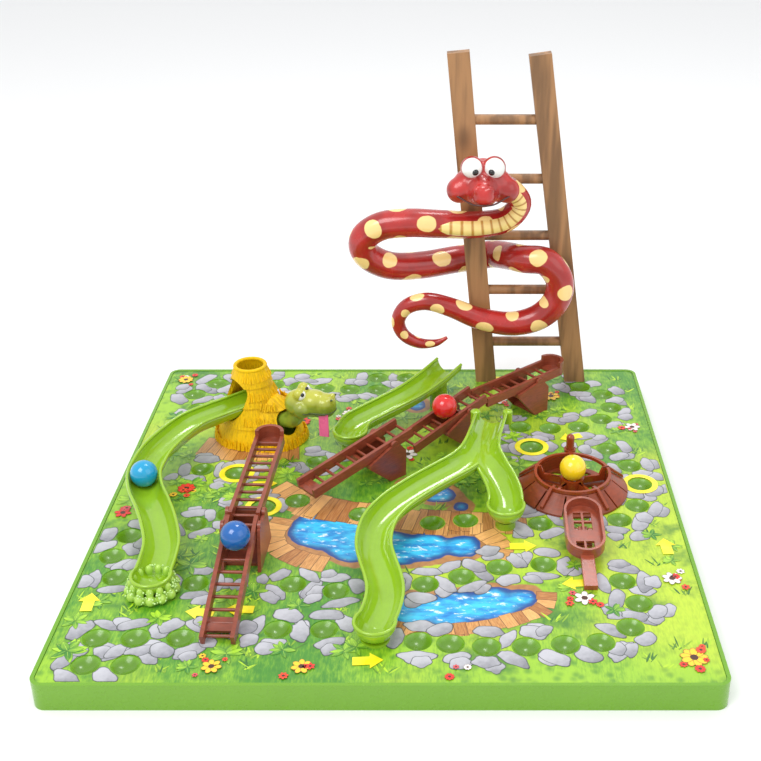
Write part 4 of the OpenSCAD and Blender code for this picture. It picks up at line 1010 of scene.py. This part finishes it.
class BoardSlides(bpy.types.Operator):
    """Three lime slides with rolled lips, bowls and posts"""
    bl_idname = "board.slides"
    bl_label = "Slides"

    def execute(self, context):
        lime = plastic("slide_lime", "lime_plastic", colour("slide"), 0.14, 0.01, 0.7)
        post = plastic("post_green", "green_plastic", shade(colour("slide"), 0.8), 0.3)
        hut = slide_run(HUT_SLIDE, HUT_HIGH, BOWL_RO)
        back = slide_run(BACK_SLIDE, BACK_HIGH, BACK_LOW)
        long = slide_run(FORK_LONG, FORK_HIGH, BOWL_RO)
        short = slide_run(FORK_SHORT, FORK_HIGH, FORK_LOW)

        def foot_and_ears(bm):
            disc(bm, (*long[-1].xy, DECK), 9 * MM, 1.6 * MM, 32)
            ear_r, ear_h = 3.7 * MM, 9.4 * MM
            for side in (-1, 1):
                ear = long[0] + Vector((side * SLIDE_RO, 0, -9 * MM))
                disc(bm, ear, ear_r, ear_h)
                blob(bm, ear + Vector((0, 0, ear_h)), ear_r, (1, 1, 0.32), rings=10)

        build_slide("slide_hut", [hut], lime, HUT_LEAD, HUT_LEAD)
        self.splash(Vector((*hut[-1].xy, DECK)), random.Random(5))
        build_slide("slide_back", [back], lime, 1 * MM, 2 * MM)
        build_slide("slide_fork", [long, short], lime, 1 * MM, 2 * MM, foot_and_ears)
        for node in ("slide_back_posts", "slide_fork_posts"):
            dressed(node, post)
        return {"FINISHED"}

    def splash(self, end, chance):
        """The hut slide's foot: a ruffled collar round the bowl, sown with small beads."""
        bm, beads = bmesh.new(), bmesh.new()
        disc(bm, end, 14.5 * MM, 2 * MM, 48)
        for k in range(13):
            a = math.radians(360 / 13 * k)
            out = toward(a).to_3d()
            blob(bm, end + out * 14 * MM + Vector((0, 0, 3.4 * MM)), 3.3 * MM, (1.15, 1, 1.1), a, 10)
            blob(bm, end + out * 12.6 * MM + Vector((0, 0, 8 * MM)), 2.5 * MM, (1, 1, 1.5), a, 8)
        pale = plastic("collar_lime", "lime_plastic", (0.42, 0.66, 0.09), 0.16, 0.01, 0.6)
        add_piece("slide_hut_splash", softened(bm, 0.5 * MM, 3), pale)
        for k in range(150):
            a, up = chance.uniform(0, 2 * math.pi), chance.random()
            r = (17.2 - 2.6 * up) * MM
            at = end + Vector((r * math.cos(a), r * math.sin(a), (3 + 7.5 * up) * MM))
            blob(beads, at, chance.uniform(0.4, 0.85) * MM, rings=4)
        bead = plastic("bead_lime", "lime_plastic", (0.6, 0.85, 0.3), 0.2, 0.02, 0.5)
        add_piece("slide_hut_beads", beads, bead)


class BoardHut(bpy.types.Operator):
    """Thatched hut with straw fringes"""
    bl_idname = "board.hut"
    bl_label = "Hut"

    def execute(self, context):
        straw = self.straw()
        dressed("hut_shell", straw)
        chance = random.Random(3)
        bm = bmesh.new()
        self.fringe(bm, chance, HUT_SHELL, PORCH_SHELL, (0, 0.3, 0.6, 0.84))
        self.fringe(bm, chance, PORCH_SHELL, HUT_SHELL, (0, 0.5, 0.8))
        add_piece("straw_fringes", bm, straw, crease=50)
        rim = [(*at, DECK + HUT_H - 0.6 * MM) for at in arc(11.4 * MM, 0, 360, 36, HUT_XY)]
        add_piece("straw_rim", tube(rim, [1.5 * MM] * len(rim)), straw)
        return {"FINISHED"}

    def straw(self):
        made = Finish("straw", "thatch_plastic", IOR=1.35)
        x, y, z = made.place.placed(centre=(*HUT_XY, DECK)).parts()
        turn = y.math("ARCTAN2", x)
        strands = made.start.node("ShaderNodeCombineXYZ", (), {0: turn * 7.0, 1: z * 55})
        coarse = strands.noise(2.3, 4, 0.6)
        fine = strands.noise(8, 3, 0.6)
        height = coarse * 0.6 + fine * 0.4
        # Painted shade, with random straw tone: the thatch is drawn darker where the strands' relief is low,
        # in the grooves between them
        tone = (height + (made.place.noise(28, 2) - 0.5) * 0.35).fade(0.28, 0.62)
        made.set(Base_Color=tone.shades(colour("thatch"), 0.6, 1.05), Roughness=0.4 + fine * 0.2)
        made.bump(height, 1.3 * MM)
        return made

    def fringe(self, bm, chance, shell, other, tiers):
        """Rows of straw round a shell, where they hang free of the doors and the other shell."""
        middle, height = shell[0], shell[3]
        for share in tiers:
            r = shell_r(shell, share)
            count = int(2 * math.pi * r / (1.7 * MM))
            for k in range(count):
                a = (k + chance.uniform(-0.3, 0.3)) * 2 * math.pi / count
                at = Vector((*(middle + toward(a) * (r + 0.7 * MM)),
                             DECK + share * height + chance.uniform(0.2, 1.4) * MM))
                if not self.clear(at, other):
                    continue
                long, thick = chance.uniform(4, 7.5) * MM, chance.uniform(0.9, 1.5) * MM
                lean = 0.16 if share == 0 else 0.38
                place = (Matrix.Translation(at) @ turned(a) @ turned(-lean, "Y")
                         @ Matrix.Translation((0, 0, long * 0.4)))
                bmesh.ops.create_cone(bm, cap_ends=True, segments=6, radius1=thick * 0.75,
                                      radius2=thick * 0.5, depth=long, matrix=place)

    def clear(self, at, other):
        """Whether a strand here hangs free of the door, the den and the other shell."""
        lift = at.z - DECK
        middle, height = other[0], other[3]
        share = min(1, max(0, lift / height))
        if (at.xy - middle).length < shell_r(other, share) and lift < height:
            return False
        ahead, aside = seen_from(at, HUT_XY, Vector(HUT_SLIDE[1][:2]) - Vector(HUT_SLIDE[0][:2]))
        if ahead > 0 and aside < DOOR_HALF and DOOR_FOOT < lift < DOOR_TOP - aside * DOOR_FALL:
            return False
        ahead, aside = seen_from(at, PORCH_XY, toward(math.radians(DEN_HEADING)))
        return not (ahead > 0 and math.hypot(aside, lift - DEN_H) < DEN_R)


def shell_r(shell, share):
    """The radius of a shell at this share of its height."""
    middle, foot, top, height, bend = shell
    return top + (foot - top) * (1 - share) ** bend


def seen_from(at, start, heading):
    """How far a place lies ahead of the start along the heading, and how far aside of it."""
    run = heading.normalized()
    away = at.xy - start
    return away.dot(run), abs(away.dot(Vector((-run.y, run.x))))


class BoardHutSnake(bpy.types.Operator):
    """Olive snake looking out of the hut"""
    bl_idname = "board.hut_snake"
    bl_label = "Hut snake"

    def execute(self, context):
        middle = Vector((*HUT_XY, DECK)) + Vector((0.65, -0.41, 0.66)) * HUT_H
        head = Matrix.Translation(middle) @ turned(math.radians(-12))
        # The last colour is a painted highlight for the top of the head
        skin = snake_skin("olive_skin", "olive_plastic", colour("olive"), (0.47, 0.47, 0.04))
        dark = plastic("mouth_dark", "olive_plastic", (0.05, 0.075, 0.012), 0.4)
        bm = node_copy("hut_snake")
        blob_pairs(bm, head, 1, HUT_PAIRS)
        blob(bm, head @ Vector((12 * MM, 0, 3.4 * MM)), 9 * MM, (1.2, 1.15, 0.85))
        blob(bm, head @ Vector((21 * MM, 0, 2.4 * MM)), 8 * MM, (1.05, 1.15, 0.85))
        piece = add_piece("hut_snake_skin", softened(bm, 0.6 * MM, 18), skin)
        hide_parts("hut_snake")
        bpy.context.view_layer.update()
        side = [(7, 11.4, -2.2), (13, 11.2, -3.9), (20, 9.9, -4.2), (26, 6.9, -3.6)]
        mouth = [(x, -y, z) for x, y, z in side] + [(29.6, 0, -2.9)] + side[::-1]
        run = [piece.closest_point_on_mesh(point)[1]
               for point in curve_points([head @ (Vector(point) * MM) for point in mouth], 5)]
        add_piece("hut_snake_mouth", tube(run, [0.6 * MM] * len(run), sides=2), dark)
        self.eyes(head)
        nostrils = blob_pairs(bmesh.new(), head, 1, [(27.5, 4.9, 7.2, 1.1)], stretch=(1, 1, 0.7), rings=8)
        add_piece("hut_snake_nostrils", nostrils, dark)
        pink = plastic("tongue_pink", "pink_plastic", (0.9, 0.14, 0.34), 0.3)
        eased("hut_snake_tongue", pink, 0.7 * MM, segments=3)
        return {"FINISHED"}

    def eyes(self, head):
        white = plastic("eye_white", "white_plastic", (0.86, 0.86, 0.82), 0.18)
        black = plastic("eye_black", "white_plastic", (0.012, 0.012, 0.012), 0.12)
        eyes, pupils = bmesh.new(), bmesh.new()
        look = (head.to_3x3() @ Vector((0.62, -0.62, 0.42))).normalized()
        for s in (-1, 1):
            eye = head @ (Vector((3.9, s * 5.3, 9.3)) * MM)
            blob(eyes, eye, 4.1 * MM)
            blob(pupils, eye + look * 2.75 * MM, 1.9 * MM, rings=10)
        piece = add_piece("hut_snake_eyes_round", eyes, white)
        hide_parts("hut_snake_eyes")
        add_piece("hut_snake_pupils", pupils, black)


def snake_skin(name, slot, tone, painted_top_highlight=None):
    """Smooth snake skin: mottled, with a fine relief of scales, and for the snake in the hut a painted
    highlight that lightens the top of its head.
    """
    made = Finish(name, slot, Coat_Weight=0.4, Coat_Roughness=0.12)
    spots = made.place.noise(70, 3)
    base = spots.fade(0.35, 0.65).shades(tone, 0.8, 1.3)
    if painted_top_highlight:
        # Painted highlight: from this height up, the head is drawn in the lighter colour
        base = made.place.parts()[2].fade(DECK + 0.6 * HUT_H, DECK + 0.86 * HUT_H).mix(base, painted_top_highlight)
    made.set(Base_Color=base, Roughness=0.24 + spots * 0.12)
    made.bump(made.place.cells(700).fade(0.0, 0.6), 0.05 * MM, 0.5)
    return made


class BoardLadders(bpy.types.Operator):
    """Five tilting beams on their trestles"""
    bl_idname = "board.ladders"
    bl_label = "Tilting ladders"

    def execute(self, context):
        brown = brown_plastic("ladder_brown", "brown_plastic", colour("brown"))
        for node in ("trestle_left", "trestle_front", "trestle_middle", "trestle_back"):
            eased(node, brown, 0.35 * MM)
        for end in ("low", "high"):
            eased("ladder_left_" + end, brown, 0.35 * MM, "left_ladder_" + end)
        for end in ("low", "middle", "high"):
            eased("ladder_long_" + end, brown, 0.35 * MM, "long_ladder_" + end)
        return {"FINISHED"}


class BoardWheel(bpy.types.Operator):
    """Spinning wheel with its skirt, pin and peg"""
    bl_idname = "board.wheel"
    bl_label = "Wheel"

    def execute(self, context):
        brown = brown_plastic("wheel_brown", "brown_plastic", shade(colour("rust"), 0.85))
        rust = plastic("wheel_rust", "rust_plastic", colour("rust"), 0.24)
        eased("wheel_base", brown, 0.35 * MM)
        eased("wheel_spinner", rust, 0.35 * MM, "wheel")
        eased("wheel_peg", rust, 0.3 * MM, "wheel")
        steel = Finish("pin_steel", "steel", Metallic=1.0)
        steel.set(Base_Color=steel.place.noise(300, 2).mix((0.5, 0.5, 0.52), (0.7, 0.7, 0.72)),
                  Roughness=steel.place.noise(500, 2) * 0.2 + 0.18)
        eased("wheel_pin", steel, 0.25 * MM)
        eased("catapult_pin", steel, 0.25 * MM)
        return {"FINISHED"}


class BoardCatapult(bpy.types.Operator):
    """Tipping scoop that throws a ball at the wheel"""
    bl_idname = "board.catapult"
    bl_label = "Catapult"

    def execute(self, context):
        brown = brown_plastic("catapult_brown", "brown_plastic", shade(colour("brown"), 1.35))
        eased("catapult_lever", brown, 0.45 * MM, "catapult", 3)
        eased("catapult_stand", brown, 0.3 * MM)
        return {"FINISHED"}


class BoardStandingLadder(bpy.types.Operator):
    """Tall ladder at the back edge"""
    bl_idname = "board.standing_ladder"
    bl_label = "Standing ladder"

    def execute(self, context):
        grain = wood("ladder_wood", "wood_plastic", colour("wood"))
        for node in ("stile_left", "stile_right", "rungs"):
            eased(node, grain, 1.0 * MM, segments=3)
        return {"FINISHED"}


class BoardClimbingSnake(bpy.types.Operator):
    """Red spotted snake wound round the tall ladder"""
    bl_idname = "board.climbing_snake"
    bl_label = "Climbing snake"

    def execute(self, context):
        red = colour("snake")
        run = curve_points([(STAND_XY.x + x * STAND_H, STAND_XY.y + y * CLIMB_REACH, DECK + z * STAND_H)
                            for x, y, z, girth in CLIMB], 7)
        wide = [v.x * SNAKE_R for v in curve_points([(girth, 0, 0) for x, y, z, girth in CLIMB], 7)]
        body = add_piece("climbing_snake_body", tube(run, wide, sides=7), self.spotted(red))
        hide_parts("climbing_snake")
        head = Matrix.Translation(run[-1])
        bm = bmesh.new()
        blob(bm, run[-1], CLIMB_HEAD_R)
        blob_pairs(bm, head, 0, CLIMB_PAIRS)
        for y, z, r in ((-12, -4, 12.5), (2.5, 5, 12), (-21, -4.5, 9)):
            blob(bm, head @ (Vector((0, y, z)) * MM), r * MM)
        skin = snake_skin("snake_red", "red_plastic", red)
        add_piece("climbing_snake_head", softened(bm, 0.9 * MM, 26), skin)
        self.belly(run[-49:], wide[-49:])
        self.face(head)
        return {"FINISHED"}

    def spotted(self, red):
        """Red skin with cream spots in staggered rows."""
        made = Finish("spotted_skin", "red_plastic", Coat_Weight=0.45, Coat_Roughness=0.1)
        along, around = made.uv.parts()[:2]
        flow = made.place.noise(60, 3)
        row = along * 36
        step = (row.math("FLOOR") * 0.5).math("FRACT")
        ahead = (row.math("FRACT") - 0.5) * 21
        aside = ((around * 2 + step).math("FRACT") - 0.5) * 34
        spots = ((ahead * ahead + aside * aside).math("SQRT") + (flow - 0.5) * 5).fade(6.4, 7.2)
        ground = flow.fade(0.3, 0.7).shades(red, 0.8, 1.2)
        made.set(Base_Color=spots.mix((0.95, 0.66, 0.26), ground), Roughness=0.2 + flow * 0.12)
        made.bump(made.place.cells(600).fade(0, 0.6), 0.04 * MM, 0.4)
        return made

    def belly(self, run, wide):
        """A plated strip down the front of the neck."""
        cream = Finish("belly_cream", "red_plastic", Coat_Weight=0.35, Coat_Roughness=0.15)
        plates = ((cream.uv.parts()[0] * 130).math("SINE") * 0.5 + 0.5).fade(0.0, 0.3)
        cream.set(Base_Color=plates.mix((0.55, 0.27, 0.05), (0.95, 0.7, 0.26)), Roughness=0.32)
        cream.bump(plates, 0.5 * MM, 0.6)
        front = [p + Vector((0, -w * 0.5, 0)) for p, w in zip(run, wide)]
        swell = [math.sin(min(1, k / 10) * math.pi / 2) for k in range(len(front))]
        belly = [w * 0.66 * s for w, s in zip(wide, swell)]
        add_piece("climbing_snake_belly", tube(front[:-5], belly[:-5], sides=5), cream)

    def face(self, head):
        white = plastic("ball_eye_white", "white_plastic", (0.86, 0.86, 0.83), 0.15)
        black = plastic("ball_eye_black", "white_plastic", (0.012, 0.012, 0.012), 0.1)
        eyes = blob_pairs(bmesh.new(), head, 0, [(8.4, -8.7, 12.75, 8)], rings=18)
        pupils = blob_pairs(bmesh.new(), head, 0, [(6.2, -15.1, 11.55, 2.6)], rings=12)
        piece = add_piece("climbing_snake_eyes_round", eyes, white)
        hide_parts("climbing_snake_eyes")
        add_piece("climbing_snake_pupils", pupils, black)
        side = [(24, -12, -5.5), (16, -17.5, -8.5), (8, -26, -10)]
        mouth = [(-x, y, z) for x, y, z in side] + [(0, -29.2, -10)] + side[::-1]
        run = curve_points([head @ (Vector(point) * MM) for point in mouth], 6)
        dark = plastic("mouth_brown", "red_plastic", (0.06, 0.008, 0.006), 0.4)
        add_piece("climbing_snake_mouth", tube(run, [0.7 * MM] * len(run), sides=2), dark)


class BoardBalls(bpy.types.Operator):
    """Four glossy balls"""
    bl_idname = "board.balls"
    bl_label = "Balls"

    def execute(self, context):
        tones = {"cyan": (0.0, 0.3, 0.55), "blue": (0.0, 0.1, 0.37), "red": (0.68, 0.012, 0.012),
                 "yellow": (0.95, 0.64, 0.014)}
        for name, tone in tones.items():
            low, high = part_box("ball_" + name)
            bm = bmesh.new()
            blob(bm, (low + high) / 2, (high.z - low.z) / 2, rings=32)
            shine = plastic("ball_" + name, name + "_ball", tone, 0.16, 0.008, 0.6)
            piece = add_piece("ball_%s_round" % name, bm, shine, name + "_ball")
            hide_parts("ball_" + name)
        return {"FINISHED"}


class BoardStage(bpy.types.Operator):
    """Pale floor, soft lights and the camera"""
    bl_idname = "board.stage"
    bl_label = "Stage"

    def execute(self, context):
        self.floor()
        self.lights(context.scene)
        self.camera(context.scene)
        return {"FINISHED"}

    def floor(self):
        bm = bmesh.new()
        bmesh.ops.create_grid(bm, x_segments=1, y_segments=1, size=30)
        floor = shown("floor", mesh_of("floor", bm))
        pale = bpy.data.materials.new("floor_pale")
        pale.use_nodes = True
        shader = next(n for n in pale.node_tree.nodes if n.type == "BSDF_PRINCIPLED")
        shader.inputs["Base Color"].default_value = (0.86, 0.86, 0.86, 1)
        shader.inputs["Roughness"].default_value = 0.7
        floor.data.materials.append(pale)

    def lights(self, scene):
        for name, at, size, power in (
                ("key", (-0.7, -0.8, 1.5), 0.9, 15), ("fill", (1.2, -0.7, 1.0), 1.2, 4),
                ("top", (0.25, 0.65, 1.5), 0.35, 5)):
            light = bpy.data.lights.new(name, "AREA")
            light.size, light.energy = size, power
            lamp = shown(name, light)
            lamp.location = at
            lamp.rotation_euler = (Vector((0, 0, 0.05)) - Vector(at)).to_track_quat("-Z", "Y").to_euler()
        scene.world = bpy.data.worlds.new("studio")
        scene.world.use_nodes = True
        sky = scene.world.node_tree.nodes["Background"].inputs
        sky["Color"].default_value = (0.98, 0.99, 1.0, 1)
        sky["Strength"].default_value = 0.97

    def camera(self, scene):
        """The camera that took both pictures of the board, worked out from the tray's corners."""
        camera = bpy.data.cameras.new("camera")
        frame_px, middle_px, axis_px, focal_px = 1700, (873, 822), (1021, 815), 2647
        camera.sensor_width, camera.lens = 36, 36 * focal_px / frame_px
        camera.shift_x = (middle_px[0] - axis_px[0]) / frame_px
        camera.shift_y = (axis_px[1] - middle_px[1]) / frame_px
        view = shown("camera", camera)
        view.location = (37.8 * MM, -717.9 * MM, 476.3 * MM)
        dip = math.asin(0.4525)
        view.rotation_euler = (math.pi / 2 - dip, 0, 0)
        scene.camera = view
        scene.view_settings.view_transform = "Standard"


PIECES = (BoardTray, BoardGarden, BoardSlides, BoardHut, BoardHutSnake, BoardLadders, BoardWheel,
          BoardCatapult, BoardStandingLadder, BoardClimbingSnake, BoardBalls, BoardStage)


class BoardPanel(bpy.types.Panel):
    """Lists the board's pieces, sizes and colours"""
    bl_idname = "VIEW3D_PT_board"
    bl_label = "Snakes and ladders board"
    bl_space_type = "VIEW_3D"
    bl_region_type = "UI"
    bl_category = "Board"

    def draw(self, context):
        for group in (context.scene.board_sizes, context.scene.board_colours):
            for name in group.bl_rna.properties.keys():
                if name not in ("rna_type", "name"):
                    self.layout.prop(group, name)
        for piece in PIECES:
            self.layout.operator(piece.bl_idname)


CLASSES = (BoardSizes, BoardColours, *PIECES, BoardPanel)


def register():
    for one in CLASSES:
        bpy.utils.register_class(one)
    bpy.types.Scene.board_sizes = PointerProperty(type=BoardSizes)
    bpy.types.Scene.board_colours = PointerProperty(type=BoardColours)


def unregister():
    del bpy.types.Scene.board_sizes
    del bpy.types.Scene.board_colours
    for one in reversed(CLASSES):
        bpy.utils.unregister_class(one)


def main():
    register()
    for piece in PIECES:
        group, name = piece.bl_idname.split(".")
        getattr(getattr(bpy.ops, group), name)()


if __name__ == "__main__":
    main()
